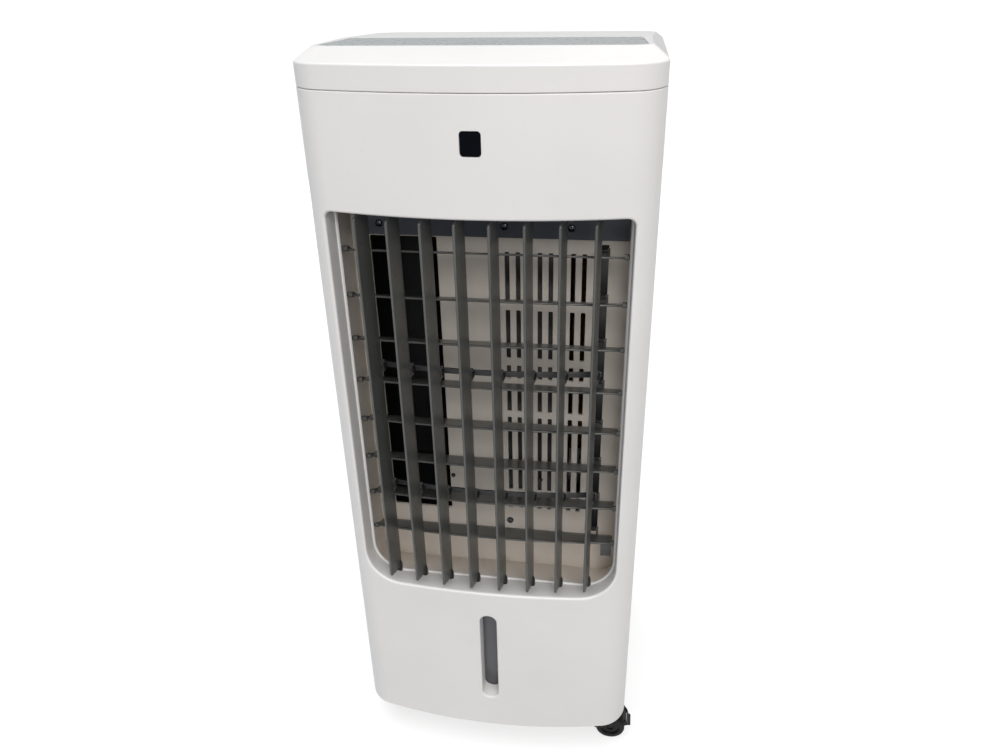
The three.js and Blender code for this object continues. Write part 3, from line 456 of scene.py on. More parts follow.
def rolled(kit, starts, corners, ends, start_normals, end_normals, steps=4):
    """Rings that roll from a surface over a sharp corner to a wall; returns (ids, normals) of each."""
    rings = []
    for k in range(steps + 1):
        t = k / steps
        points, normals = [], []
        for p0, e, p1, n0, n1 in zip(starts, corners, ends, start_normals, end_normals):
            w = max(0.35, ((n0 + n1) / 2).length)
            b0, b1, b2 = (1 - t) ** 2, 2 * t * (1 - t) * w, t * t
            points.append((p0 * b0 + e * b1 + p1 * b2) / (b0 + b1 + b2))
            normals.append((n0 * (1 - t) + n1 * t).normalized())
        rings.append((kit.add(points), normals))
    for (a, na), (b, nb) in zip(rings, rings[1:]):
        kit.strip(a, b, na, nb)
    return rings


def roll_edge(kit, corners, outs, facing, reach, steps):
    """Rolls a flat face into a wall at right angles to it; outs point from the wall over the face.

    Returns the places where the roll starts, and the numbers of its first and last rings.
    """
    starts = [c + o * reach for c, o in zip(corners, outs)]
    ends = [c - facing * reach for c in corners]
    rings = rolled(kit, starts, corners, ends, [facing] * len(corners), [-o for o in outs], steps)
    return starts, rings[0][0], rings[-1][0]


def flat_surface(axis, place, facing):
    """A surface for filling that lies across y, taking (x, z), or across z, taking (x, y)."""
    if axis == "y":
        return lambda x, z: (Vector((x, place, z)), Vector((0, facing, 0)))
    return lambda x, y: (Vector((x, y, place)), Vector((0, 0, facing)))


# ---- the body's outline, unrolled
class Skin:
    """A path of lines and arcs seen from above; u runs along it in millimetres from its middle."""

    def __init__(self, parts):
        self.parts, self.length = [], 0.0
        for part in parts:
            if part[0] == "line":
                size = dist(part[1], part[2])
            else:
                size = abs(part[4] - part[3]) * part[2]
            self.parts.append((self.length, size, part))
            self.length += size
        self.half = self.length / 2

    def at(self, u, depth=0.0):
        """The point at u, pushed in by depth, and the outward normal."""
        s = min(max(u + self.half, 0.0), self.length)
        for start, size, part in self.parts:
            if s <= start + size + 1e-9:
                break
        t = (s - start) / size
        if part[0] == "line":
            (x0, y0), (x1, y1) = part[1:]
            run = Vector((x1 - x0, y1 - y0, 0)).normalized()
            normal = Vector((run.y, -run.x, 0))
            point = Vector((x0 + (x1 - x0) * t, y0 + (y1 - y0) * t, 0))
        else:
            _, (cx, cy), radius, a0, a1 = part
            a = a0 + (a1 - a0) * t
            normal = Vector((cos(a), sin(a), 0))
            point = Vector((cx, cy, 0)) + radius * normal
        return point - normal * depth, normal

    def stations(self, fine=2.4, coarse=7.0):
        """Places along u, closer together round the tight corners."""
        places = []
        for start, size, part in self.parts:
            step = fine if part[0] == "arc" and part[2] < 100 else coarse
            count = max(1, ceil(size / step))
            places += [start + size * i / count - self.half for i in range(count)]
        return places + [self.half]


FRONT_SKIN = Skin([
    ("line", (-HALF, SPLIT_Y), (-HALF, CORNER_Y)),
    ("arc", (-CORNER_X, CORNER_Y), FRONT_CORNER, pi, 1.5 * pi - CORNER_TURN),
    ("arc", (0, FRONT_CENTRE_Y), FRONT_RADIUS, 1.5 * pi - CORNER_TURN, 1.5 * pi + CORNER_TURN),
    ("arc", (CORNER_X, CORNER_Y), FRONT_CORNER, 1.5 * pi + CORNER_TURN, tau),
    ("line", (HALF, CORNER_Y), (HALF, SPLIT_Y)),
])
REAR_SKIN = Skin([
    ("line", (HALF, SPLIT_Y + GAP), (HALF, REAR_Y - REAR_CORNER)),
    ("arc", (HALF - REAR_CORNER, REAR_Y - REAR_CORNER), REAR_CORNER, 0.0, 0.5 * pi),
    ("line", (HALF - REAR_CORNER, REAR_Y), (REAR_CORNER - HALF, REAR_Y)),
    ("arc", (REAR_CORNER - HALF, REAR_Y - REAR_CORNER), REAR_CORNER, 0.5 * pi, pi),
    ("line", (-HALF, REAR_Y - REAR_CORNER), (-HALF, SPLIT_Y + GAP)),
])


def front_u(x):
    """Where along the front skin a given x lies."""
    turn = asin(min(1.0, abs(x) / FRONT_RADIUS))
    u = FRONT_RADIUS * turn
    if turn > CORNER_TURN:
        side = asin(min(1.0, (abs(x) - CORNER_X) / FRONT_CORNER))
        u = FRONT_RADIUS * CORNER_TURN + FRONT_CORNER * (side - CORNER_TURN)
    return copysign(u, x)


def front_y(x):
    """How far forward the front arc lies at x, as the louvres' pivots follow it."""
    return FRONT_CENTRE_Y - sqrt(FRONT_RADIUS ** 2 - x ** 2)


def raised(flat, z):
    return Vector((flat.x, flat.y, z))


def skin_surface(skin, depth=0.0, facing=1):
    def surface(u, z):
        point, normal = skin.at(u, depth)
        return raised(point, z), normal * facing
    return surface


def skin_border(kit, skin, low, high, radius, thickness):
    """The rolled border of a skin. Returns the outer and the inner loop for filling."""
    us = skin.stations()
    heights = [low + (high - low) * i / 26 for i in range(1, 26)]
    places = [(us[0], low, -1, -1)] + [(u, low, 0, -1) for u in us[1:-1]] + [(us[-1], low, 1, -1)]
    places += [(us[-1], z, 1, 0) for z in heights] + [(us[-1], high, 1, 1)]
    places += [(u, high, 0, 1) for u in reversed(us[1:-1])] + [(us[0], high, -1, 1)]
    places += [(us[0], z, -1, 0) for z in reversed(heights)]
    rows, flat, inner = [], [], []
    for u, z, du, dz in places:
        edge, normal = skin.at(u)
        wall = (Vector((-normal.y, normal.x, 0)) * du + UP * dz).normalized()
        start_u, start_z = u - du * radius, z - dz * radius
        start, start_normal = skin.at(start_u)
        rows.append((raised(start, start_z), raised(edge, z), raised(edge - normal * radius, z),
                     start_normal, wall))
        flat.append((start_u, start_z))
        inner.append(raised(edge - normal * thickness, z))
    walls = [row[-1] for row in rows]
    rings = rolled(kit, *zip(*rows), 3)
    back = kit.add(inner)
    kit.strip(rings[-1][0], back, walls, walls)
    return (rings[0][0], flat), (back, [place[:2] for place in places])


def hole(kit, loop, edge_at, radius, wall_at, tube, thickness, steps=4):
    """A hole through the front skin with a rolled lip and a tube behind it.

    edge_at(x, z) gives the sharp corner; wall_at(x, z, y) a point of the tube's inside at depth y;
    tube is a list of (y, inward step) down the tube; the last one is its rear end.
    """
    rows, flat = [], []
    for x, z, ox, oz in loop:
        corner = edge_at(x, z)
        run = (wall_at(x, z, corner.y + 1) - wall_at(x, z, corner.y)).normalized()
        toward = Vector((-ox, 0, -oz))
        wall_normal = (toward - run * toward.dot(run)).normalized()
        u = front_u(corner.x)
        facing = FRONT_SKIN.at(u)[1].dot(wall_normal)
        reach = radius * tan(acos(max(-1.0, min(1.0, facing))) / 2)
        start_u, start_z = u + ox * reach, corner.z + oz * reach
        start, start_normal = FRONT_SKIN.at(start_u)
        rows.append((raised(start, start_z), corner, corner + run * reach, start_normal, wall_normal))
        flat.append((start_u, start_z))
    walls = [row[-1] for row in rows]
    rings = rolled(kit, *zip(*rows), steps)
    last = rings[-1][0]
    for k, (y, step) in enumerate(tube):
        ring = kit.add([wall_at(x, z, y) - Vector((ox, 0, oz)) * step for x, z, ox, oz in loop])
        kit.strip(last, ring, *((walls, walls) if k == 0 else ()))
        last = ring
    rear_y = tube[-1][0]
    outer = kit.add([wall_at(x, z, rear_y) + Vector((ox, 0, oz)) * thickness for x, z, ox, oz in loop])
    kit.strip(last, outer)
    back_flat = []
    for x, z, ox, oz in loop:
        corner = edge_at(x, z)
        back_flat.append((front_u(corner.x + ox * thickness), corner.z + oz * thickness))
    inner = kit.add([raised(FRONT_SKIN.at(u, WALL)[0], bz) for u, bz in back_flat])
    kit.strip(outer, inner)
    return (rings[0][0], flat), (inner, back_flat)


# ---- front panel
def funnel(x, z, y):
    """A point of the outlet's tapering inside wall at depth y."""
    along = (y - REVEAL_FRONT_Y) / (RIM_Y - REVEAL_FRONT_Y)
    low, high = OUTLET_LOW + OUTLET_LOW_CORNER, OUTLET_HIGH - OUTLET_TOP_CORNER
    share = min(1.0, max(0.0, (z - low) / (high - low)))
    shift = -RIM_DROP + (RIM_DROP + RIM_RISE) * share
    return Vector((x * (1 - along * (1 - RIM_HALF / OUTLET_HALF)), y, z + along * shift))


def funnel_edge(x, z):
    y = FRONT_Y
    for _ in range(4):
        point = funnel(x, z, y)
        y = FRONT_SKIN.at(front_u(point.x))[0].y
    return funnel(x, z, y)


def straight(x, z, y):
    return Vector((x, y, z))


def straight_edge(x, z):
    return Vector((x, FRONT_SKIN.at(front_u(x))[0].y, z))


def outlet_loop(grow=0.0):
    return round_loop(-OUTLET_HALF - grow, OUTLET_HALF + grow, OUTLET_LOW - grow, OUTLET_HIGH + grow,
                      OUTLET_LOW_CORNER + grow, OUTLET_TOP_CORNER + grow, 6.0, 2.2)


def build_front_panel():
    kit = Kit()
    high = SEAM_Z - GAP
    outer, inner = skin_border(kit, FRONT_SKIN, BODY_BOTTOM, high, 1.0, WALL)
    rim = [(RIM_Y - 3.2, 0.0), (RIM_Y - 3.0, 0.8), (RIM_Y - 2.5, 1.5), (RIM_Y - 1.6, 1.9),
           (RIM_Y - 0.6, 1.7), (RIM_Y, 0.6)]
    gauge = even_loop(GAUGE_HALF, GAUGE_LOW, GAUGE_HIGH, GAUGE_HALF - 0.01, 5, 1.2)
    display = even_loop(DISPLAY_HALF, DISPLAY_LOW, DISPLAY_HIGH, DISPLAY_CORNER, 3.0, 0.8, GAP)
    holes = [
        hole(kit, outlet_loop(), funnel_edge, 2.2, funnel, rim, REVEAL_WALL),
        hole(kit, gauge, straight_edge, 1.5, straight, [(GAUGE_FLOOR_Y, 0.0)], 2.0),
        hole(kit, display, straight_edge, 0.45, straight, [(DISPLAY_BACK_Y, 0.0)], 2.0, steps=3),
    ]
    columns = FRONT_SKIN.stations()[1:-1]
    rows = [BODY_BOTTOM + (high - BODY_BOTTOM) * i / 52 for i in range(1, 52)]
    fill(kit, [outer] + [h[0] for h in holes], skin_surface(FRONT_SKIN), columns, rows)
    fill(kit, [inner] + [h[1] for h in holes], skin_surface(FRONT_SKIN, WALL, -1),
         columns[::2], rows[::3], 3.0)
    kit.make("front_panel_shell", [SHELL], "housing", ["front_panel"])


def build_windows():
    kit = Kit()
    lens = even_loop(DISPLAY_HALF, DISPLAY_LOW, DISPLAY_HIGH, DISPLAY_CORNER, 4.0, 0.6)
    kit.prism(bare(lens), DISPLAY_FRONT_Y, DISPLAY_BACK_Y - 1, "y")
    kit.make("display_lens", [GLOSS], "housing", ["display_window"], bevel=0.5, segments=3)
    kit = Kit()
    lens = even_loop(GAUGE_HALF, GAUGE_LOW, GAUGE_HIGH, GAUGE_HALF - 0.01, 6, 1.5, 2)
    kit.prism(bare(lens), GAUGE_FLOOR_Y + GAP, GAUGE_FLOOR_Y + GAP + 2, "y")
    kit.make("gauge_lens", [GAUGE], "housing", ["gauge_window"], bevel=0.3)


# ---- rear housing
def rear_u(x):
    return -x


def build_rear_housing():
    kit = Kit()
    high = SEAM_Z - GAP
    outer, inner = skin_border(kit, REAR_SKIN, BODY_BOTTOM, high, 1.0, WALL)
    tank_half = TANK_HALF + 1.5
    grille = even_loop(GRILLE_HALF + GAP, GRILLE_LOW - GAP, GRILLE_HIGH + GAP, 4, 8, 1.5)
    tank = even_loop(tank_half, TANK_LOW - 0.8, TANK_HIGH + 1.5, 4, 8, 1.5)
    latch = even_loop(22, TANK_HIGH + 4.4, TANK_HIGH + 26, 4, 4, 1.2)
    gland = round_loop(GLAND_X - GLAND_CUP, GLAND_X + GLAND_CUP, GLAND_Z - GLAND_CUP, GLAND_Z + GLAND_CUP,
                       GLAND_CUP - 0.01, GLAND_CUP - 0.01, 5, 1.6)

    def rear_hole(loop, radius, depth):
        corners, outs = upright(loop, REAR_Y)
        _, first, last = roll_edge(kit, corners, outs, BACKWARD, radius, 3)
        floor = kit.add([Vector((x, REAR_Y - depth, z)) for x, z, _, _ in loop])
        walls = [-o for o in outs]
        kit.strip(last, floor, walls, walls)
        return (first, [(rear_u(x + ox * radius), z + oz * radius) for x, z, ox, oz in loop]), floor

    through = [rear_hole(loop, 1.0, WALL) for loop in (grille, tank)]
    cups = [rear_hole(latch, 0.8, REAR_Y - LATCH_SEAT_Y + 0.2),
            rear_hole(gland, 0.8, REAR_Y - GLAND_FLOOR_Y)]
    columns = REAR_SKIN.stations()[1:-1]
    rows = [BODY_BOTTOM + (high - BODY_BOTTOM) * i / 40 for i in range(1, 40)]
    fill(kit, [outer] + [h[0] for h in through + cups], skin_surface(REAR_SKIN), columns, rows)
    back_loops = [(ids, [(rear_u(x), z) for x, z, _, _ in loop])
                  for (_, ids), loop in zip(through, (grille, tank))]
    cup_backs = []
    cup_wall = 1.6
    for (_, floor), loop in zip(cups, (latch, gland)):
        y = kit.points[floor[0]].y
        kit.face(floor)
        grown = [(x + ox * cup_wall, z + oz * cup_wall) for x, z, ox, oz in loop]
        rim = kit.add([(x, REAR_Y - WALL, z) for x, z in grown])
        base = kit.add([(x, y - cup_wall, z) for x, z in grown])
        kit.strip(rim, base)
        kit.face(base)
        cup_backs.append((rim, [(rear_u(x), z) for x, z in grown]))
    fill(kit, [inner] + back_loops + cup_backs, skin_surface(REAR_SKIN, WALL, -1),
         columns[::2], rows[::3], 3.0)
    collar = [(3.5, GLAND_FLOOR_Y - 1), (6.5, GLAND_FLOOR_Y - 1), (6.5, REAR_Y - 1.6),
              (5.7, REAR_Y - 0.7), (4.2, REAR_Y - 0.7), (3.5, REAR_Y - 1.4)]
    turns = [tau * i / 28 for i in range(28)]
    kit.paint = 1
    kit.sweep([[(GLAND_X + r * cos(a), y, GLAND_Z + r * sin(a)) for r, y in collar] for a in turns])
    kit.make("rear_housing_shell", [SHELL, BLACK], "housing", ["rear_housing"])


# ---- top cap and controls
def body_outline(inset):
    """The closed outline seen from above, anticlockwise, the same points for every inset."""
    front_steps, corner_steps, side_steps, rear_steps = 40, 14, 10, 16
    left, right = 1.5 * pi - CORNER_TURN, 1.5 * pi + CORNER_TURN
    rear_x, rear_y = HALF - REAR_CORNER, REAR_Y - REAR_CORNER
    points = arc(-CORNER_X, CORNER_Y, FRONT_CORNER - inset, pi, left, corner_steps)
    points += arc(0, FRONT_CENTRE_Y, FRONT_RADIUS - inset, left, right, front_steps)[1:]
    points += arc(CORNER_X, CORNER_Y, FRONT_CORNER - inset, right, tau, corner_steps)[1:]
    there = (rear_x + REAR_CORNER - inset, rear_y)
    points += spread(points[-1], there, dist(points[-1], there) / side_steps)
    points += arc(rear_x, rear_y, REAR_CORNER - inset, 0, 0.5 * pi, corner_steps)
    there = (-rear_x, rear_y + REAR_CORNER - inset)
    points += spread(points[-1], there, 2 * rear_x / rear_steps)
    points += arc(-rear_x, rear_y, REAR_CORNER - inset, 0.5 * pi, pi, corner_steps)
    points += spread(points[-1], points[0], dist(points[-1], points[0]) / side_steps)
    return points


def panel_loop(grow):
    half, front, rear = PANEL_HALF + grow, PANEL_FRONT - grow, PANEL_REAR + grow
    back_half, turn = half - PANEL_SLANT, front + PANEL_CORNER
    points = [(-back_half, rear)] + spread((-back_half, rear), (-half, turn), 6)
    points += arc(-half + PANEL_CORNER, turn, PANEL_CORNER, pi, 1.5 * pi, 8)
    points += spread(points[-1], (half - PANEL_CORNER, front), 8)
    points += arc(half - PANEL_CORNER, turn, PANEL_CORNER, 1.5 * pi, tau, 8)
    points += spread(points[-1], (back_half, rear), 6) + [(back_half, rear)]
    points += spread(points[-1], points[0], 8)
    return points


def outward(points):
    """The outward direction at each point of an anticlockwise loop."""
    normals = []
    for i, point in enumerate(points):
        before, after = points[i - 1], points[(i + 1) % len(points)]
        run = Vector((after[0] - before[0], after[1] - before[1])).normalized()
        normals.append(Vector((run.y, -run.x)))
    return normals


def roof(y):
    """How far the cap's top lies below its front part's plane, and its slope, eased at the crease."""
    ease, extra, past = 8.0, REAR_FALL - TOP_FALL, y - CREASE_Y
    if past < -ease:
        return 0.0, 0.0
    if past > ease:
        return extra * past, extra
    return extra * (past + ease) ** 2 / (4 * ease), extra * (past + ease) / (2 * ease)


def roof_point(x, y):
    drop, slope = roof(y)
    return Vector((x, y, TOP_Z - drop)), Vector((0, slope, 1)).normalized()


def build_top_cap():
    """Made with its top level, and leant at the end as the CAD's is."""
    kit = Kit()
    outline = body_outline(0.0)
    normals = [Vector((n.x, n.y, 0)) for n in outward(outline)]
    edge = [Vector((x, y, 0)) for x, y in outline]
    edge_z = CAP_EDGE_Z - TOP_FALL * (PLATEAU_FRONT - FRONT_Y)
    foot = [raised(p, SEAM_Z + TOP_FALL * (p.y - PLATEAU_FRONT)) for p in edge]
    brow = [raised(p, edge_z) for p in edge]
    plateau, slopes, slope_normals, level = [], [], [], []
    for p in brow:
        along = ((p.y - FRONT_Y) / (REAR_Y - FRONT_Y)) ** PLATEAU_EASE
        goal_y = PLATEAU_FRONT + along * (PLATEAU_REAR - PLATEAU_FRONT)
        goal = Vector((p.x * PLATEAU_HALF / HALF, goal_y, TOP_Z))
        share = 1.0
        for _ in range(6):
            share = (TOP_Z - roof((p + (goal - p) * share).y)[0] - edge_z) / (TOP_Z - edge_z)
        plateau.append(p + (goal - p) * share)
        slope = (goal - p).normalized()
        slopes.append(slope)
        slope_normals.append((UP - slope * slope.dot(UP)).normalized())
        level.append(Vector((slope.x, slope.y, 0)).normalized())
    low_round, edge_round, top_round = 0.8, 1.4, 1.2
    low = rolled(kit, [f + UP * low_round for f in foot], foot,
                 [f - n * low_round for f, n in zip(foot, normals)], normals, [-UP] * len(edge), 3)
    shoulder = rolled(kit, [b - UP * edge_round for b in brow], brow,
                      [b + s * edge_round for b, s in zip(brow, slopes)], normals, slope_normals, 4)
    kit.strip(low[0][0], shoulder[0][0], normals, normals)
    flat = [q + v * top_round for q, v in zip(plateau, level)]
    top = rolled(kit, [q - s * top_round for q, s in zip(plateau, slopes)], plateau,
                 [roof_point(p.x, p.y)[0] for p in flat], slope_normals,
                 [roof_point(p.x, p.y)[1] for p in flat], 4)
    kit.strip(shoulder[-1][0], top[0][0], slope_normals, slope_normals)
    top_loop = (top[-1][0], [p.xy for p in flat])

    pocket = panel_loop(GAP)
    pocket_out = [Vector((n.x, n.y, 0)) for n in outward(pocket)]
    lip = 0.35
    rims = [Vector((x, y, TOP_Z)) for x, y in pocket]
    starts, pocket_edge, pocket_wall = roll_edge(kit, rims, pocket_out, UP, lip, 2)
    floor = kit.add([r - UP * 2.4 for r in rims])
    kit.strip(pocket_wall, floor)
    kit.face(floor)
    columns = [-120 + 10 * i for i in range(25)]
    rows = [CREASE_Y + 2 * i for i in range(5)] + [CREASE_Y + 16 + 9 * i for i in range(14)]
    fill(kit, [top_loop, (pocket_edge, [s.xy for s in starts])], roof_point, columns, rows, 1.5)

    inner = body_outline(WALL)
    inside_wall = kit.add([(x, y, SEAM_Z + TOP_FALL * (y - PLATEAU_FRONT)) for x, y in inner])
    inside_top = kit.add([(x, y, edge_z - WALL) for x, y in inner])
    kit.strip(low[-1][0], inside_wall)
    kit.strip(inside_wall, inside_top)
    kit.face(inside_top)
    kit.lean(PLATEAU_FRONT, TOP_FALL)
    kit.make("top_cap_shell", [SHELL], "housing", ["top_cap"])


def circle(cx, cy, radius, steps=32):
    turns = [tau * i / steps for i in range(steps)]
    return [(cx + radius * cos(a), cy + radius * sin(a)) for a in turns]


def build_controls():
    kit = Kit()
    outline = panel_loop(0.0)
    out = [Vector((n.x, n.y, 0)) for n in outward(outline)]
    edge = [Vector((x, y, TOP_Z)) for x, y in outline]
    starts, first, last = roll_edge(kit, edge, [-n for n in out], UP, 0.5, 2)
    loops = [(first, [p.xy for p in starts])]
    base = kit.add([e - UP * 2.0 for e in edge])
    kit.strip(last, base, out, out)
    base_loops = [(base, outline)]
    for i, _ in enumerate(BUTTONS):
        x = (i - (len(BUTTONS) - 1) / 2) * BUTTON_PITCH
        lip = 0.4
        ring = circle(x, BUTTON_Y, BUTTON_RADIUS + GAP)
        wide = circle(x, BUTTON_Y, BUTTON_RADIUS + GAP + lip)
        inward = [(Vector((x, BUTTON_Y, 0)) - Vector((p, q, 0))).normalized() for p, q in ring]
        levels = ((wide, TOP_Z), (ring, TOP_Z), (ring, TOP_Z - lip))
        roll = rolled(kit, *([Vector((p, q, z)) for p, q in places] for places, z in levels),
                      [UP] * len(ring), inward, 2)
        foot = kit.add([(p, q, TOP_Z - 2.0) for p, q in ring])
        kit.strip(roll[-1][0], foot)
        loops.append((roll[0][0], wide))
        base_loops.append((foot, ring))
    columns, rows = [-115 + 10 * i for i in range(24)], [-88, -80, -70, -60, -50, -40, -30, -24]
    fill(kit, loops, flat_surface("z", TOP_Z, 1), columns, rows, 2.0)
    fill(kit, base_loops, flat_surface("z", TOP_Z - 2, -1), [], [], 2.0)
    kit.lean(PLATEAU_FRONT, TOP_FALL)
    kit.make("control_panel_plate", [PANEL], "housing", ["control_panel"])
    for i, label in enumerate(BUTTONS):
        x = (i - (len(BUTTONS) - 1) / 2) * BUTTON_PITCH
        kit = Kit()
        r = BUTTON_RADIUS
        profile = ((2.0, 9), (2.0, 5), (r + 1, 5), (r + 1, 2.8), (r, 2.8), (r, 0.6), (r - 0.18, 0.18),
                   (r - 0.6, 0), (r - 1.6, 0.05), (r - 3.2, 0.28), (r - 5.0, 0.40), (0.4, 0.42))
        kit.lathe([(radius, TOP_Z - below) for radius, below in profile], (x, BUTTON_Y, 0), "z", 40)
        kit.lean(PLATEAU_FRONT, TOP_FALL)
        kit.make(f"button_cap_{label}", [BUTTON], f"button_{label}", [f"button_{label}"])


# ---- air duct
def duct_ring(y, grow=0.0):
    """The duct's inside outline at depth y, from the rim's round one to the back wall's."""
    t = (y - RIM_Y) / (DUCT_BACK_Y - RIM_Y)
    half = RIM_HALF + 0.9 + (DUCT_HALF - RIM_HALF - 0.9) * t + grow
    low = OUTLET_LOW - RIM_DROP + (DUCT_FLOOR_BACK - OUTLET_LOW + RIM_DROP) * t - grow
    high = OUTLET_HIGH + RIM_RISE + (DUCT_TOP - OUTLET_HIGH - RIM_RISE) * t + grow
    corner = OUTLET_LOW_CORNER - 14.0 * t + grow
    top = OUTLET_TOP_CORNER - 3.0 * t + grow
    corners = ((-half + corner, low + corner, corner, pi),
               (half - corner, low + corner, corner, 1.5 * pi),
               (half - top, high - top, top, 0.0),
               (-half + top, high - top, top, 0.5 * pi))
    ring = []
    for x, z, radius, start in corners:
        ring += arc(x, z, radius, start, start + pi / 2, 12)
    return ring


def build_duct():
    kit = Kit()
    front = RIM_Y + GAP
    depths = [front, front + 8, front + 18, front + 30, DUCT_BACK_Y]
    inner = [kit.add([(x, y, z) for x, z in duct_ring(y)]) for y in depths]
    for a, b in zip(inner, inner[1:]):
        kit.strip(a, b)
    back = DUCT_BACK_Y + DUCT_WALL
    outer_front = kit.add([(x, front, z) for x, z in duct_ring(front, DUCT_WALL * 0.6)])
    outer_back = kit.add([(x, back, z) for x, z in duct_ring(DUCT_BACK_Y, DUCT_WALL * 0.6)])
    kit.strip(inner[0], outer_front)
    kit.strip(outer_front, outer_back)

    openings = [(NOZZLE, 2.0)]
    for pair in range(3):
        for side in range(2):
            x = SLOT_FIRST_X + pair * SLOT_PAIR_PITCH + side * SLOT_PAIR_GAP
            openings += [((x - SLOT_HALF, x + SLOT_HALF, low, high), 0.8) for low, high in SLOT_SPANS]
    fronts, backs = [], []
    for (x0, x1, z0, z1), corner in openings:
        loop = round_loop(x0, x1, z0, z1, corner, corner, 10.0, 0.7)
        corners, outs = upright(loop, DUCT_BACK_Y)
        starts, first, last = roll_edge(kit, corners, outs, FORWARD, 0.5, 2)
        rear = kit.add([(x, back, z) for x, z, _, _ in loop])
        kit.strip(last, rear)
        fronts.append((first, [(s.x, s.z) for s in starts]))
        backs.append((rear, bare(loop)))
    columns = [-116 + 12 * i for i in range(20)]
    rows = [204 + 14 * i for i in range(28)]
    fill(kit, [(inner[-1], duct_ring(DUCT_BACK_Y))] + fronts, flat_surface("y", DUCT_BACK_Y, -1),
         columns, rows, 2.0)
    fill(kit, [(outer_back, duct_ring(DUCT_BACK_Y, DUCT_WALL * 0.6))] + backs, flat_surface("y", back, 1),
         columns[::3], rows[::3], 3.0)
    kit.make("air_duct_liner", [DUCT], "housing", ["air_duct"], sharp=40)


def pan_head(kit, x, y, z, radius, height):
    """A domed screw head facing the front."""
    profile = [(radius, y), (radius, y - height * 0.45), (radius * 0.86, y - height * 0.8),
               (radius * 0.55, y - height), (0.2, y - height * 1.04)]
    kit.lathe(profile, (x, 0, z), "y", 24)


def build_rail():
    kit = Kit()
    face_y, screw_z = DUCT_BACK_Y - 4, RAIL_LOW + 10.5
    outline = [(face_y, RAIL_LOW + 1.6), (face_y + 0.8, RAIL_LOW), (DUCT_BACK_Y - GAP, RAIL_LOW),
               (DUCT_BACK_Y - GAP, DUCT_TOP - 4), (face_y, DUCT_TOP - 4)]
    kit.prism(outline, -DUCT_HALF + 5, DUCT_HALF - 5, "x")
    kit.make("top_rail_bar", [RAIL], "housing", ["top_rail"], bevel=0.4)
    for i, x in enumerate(RAIL_SCREWS):
        kit = Kit()
        pan_head(kit, x, face_y - 0.2, screw_z, 3.2, 2.2)
        kit.paint = 1
        for half_x, half_z in ((1.9, 0.35), (0.35, 1.9)):
            kit.box(x - half_x, x + half_x, face_y - 2.55, face_y - 1, screw_z - half_z, screw_z + half_z)
        kit.make(f"rail_screw_head_{i + 1}", [SCREW, BLACK], "housing", [f"rail_screw_{i + 1}"])
    kit = Kit()
    for x, z, radius in WALL_SCREWS:
        pan_head(kit, x, DUCT_BACK_Y, z, radius, radius * 0.7)
    kit.make("wall_screw_heads", [SCREW], "housing")


# ---- vertical louvres
def blade_pivot(index):
    x = (index - (BLADE_COUNT - 1) / 2) * BLADE_PITCH
    return x, front_y(x) + BLADE_INSET + BLADE_FRONT


def blade_section(shrink):
    """Half widths down the blade from its nose, as a closed outline in x and y."""
    half = [(-BLADE_FRONT + 0.05, 0.0), (-BLADE_FRONT + 0.22, 0.62), (-BLADE_FRONT + 0.7, 1.0),
            (-BLADE_FRONT + 1.3, 1.12), (-BLADE_FRONT + 2.4, 1.05), (-BLADE_FRONT + 4.0, 0.92),
            (-12.0, 0.95), (-4.0, 0.95), (2.5, 0.85), (4.7, 0.72), (5.3, 0.45), (BLADE_REAR, 0.0)]
    middle = (-BLADE_FRONT + BLADE_REAR) / 2
    reach = (BLADE_FRONT + BLADE_REAR) / 2
    half = [(middle + (y - middle) * (1 - shrink / reach), max(0.0, w - shrink)) for y, w in half]
    right = [(w, y) for y, w in half]
    left = [(-w, y) for y, w in reversed(half[1:-1])]
    return right + left


def rounding(near, radius):
    """How much a round corner takes off an edge, at a distance from the corner."""
    return radius - sqrt(max(0.0, radius ** 2 - (radius - near) ** 2)) if near < radius else 0.0


def blade_foot(y):
    """The height of the blade's lower edge, rounded at the front tip."""
    near = y + BLADE_FRONT
    return BLADE_TIP - BLADE_SLOPE * near + rounding(near, 2.6)


def blade_head(y):
    return BLADE_TOP - rounding(y + BLADE_FRONT, 3.0)


def vertical_louvre(kit):
    ends = ((0.6, 0.0), (0.25, 0.15), (0.0, 0.6))
    rings = [[(x, y, blade_foot(y) + lift) for x, y in blade_section(shrink)] for shrink, lift in ends]
    rings += [[(x, y, z) for x, y in blade_section(0.0)] for z in (300, 380, 460, 540)]
    rings += [[(x, y, blade_head(y) - lift) for x, y in blade_section(shrink)]
              for shrink, lift in ends[::-1]]
    kit.loft(rings)
    kit.paint = 1
    foot = blade_foot(0)
    kit.lathe([(2.0, 208.5), (2.4, 209), (2.5, foot - 3), (2.9, foot - 1.5), (2.9, foot + 4),
               (2.2, foot + 7), (0.8, foot + 8.6)], (0, 1.2, 0), "z", 20)
    kit.lathe([(2.3, BLADE_TOP - 4), (2.5, BLADE_TOP - 3), (2.5, 598.6), (2.1, 599)], (0, 0, 0), "z", 20)
    kit.paint = 0
    for z in LINK_HEIGHTS:
        tip = LINK_ARM + 1.7
        ear = [(-1.6, BLADE_REAR - 2), (1.6, BLADE_REAR - 2), (1.6, tip - 1.0), (0.9, tip - 0.2),
               (0, tip), (-0.9, tip - 0.2), (-1.6, tip - 1.0)]
        kit.prism(ear, z + 3.4, z + 5.2)
        kit.prism(ear, z - 5.2, z - 3.4)
        kit.lathe([(1.2, z - 4), (1.2, z + 4)], (0, LINK_ARM, 0), "z", 16)


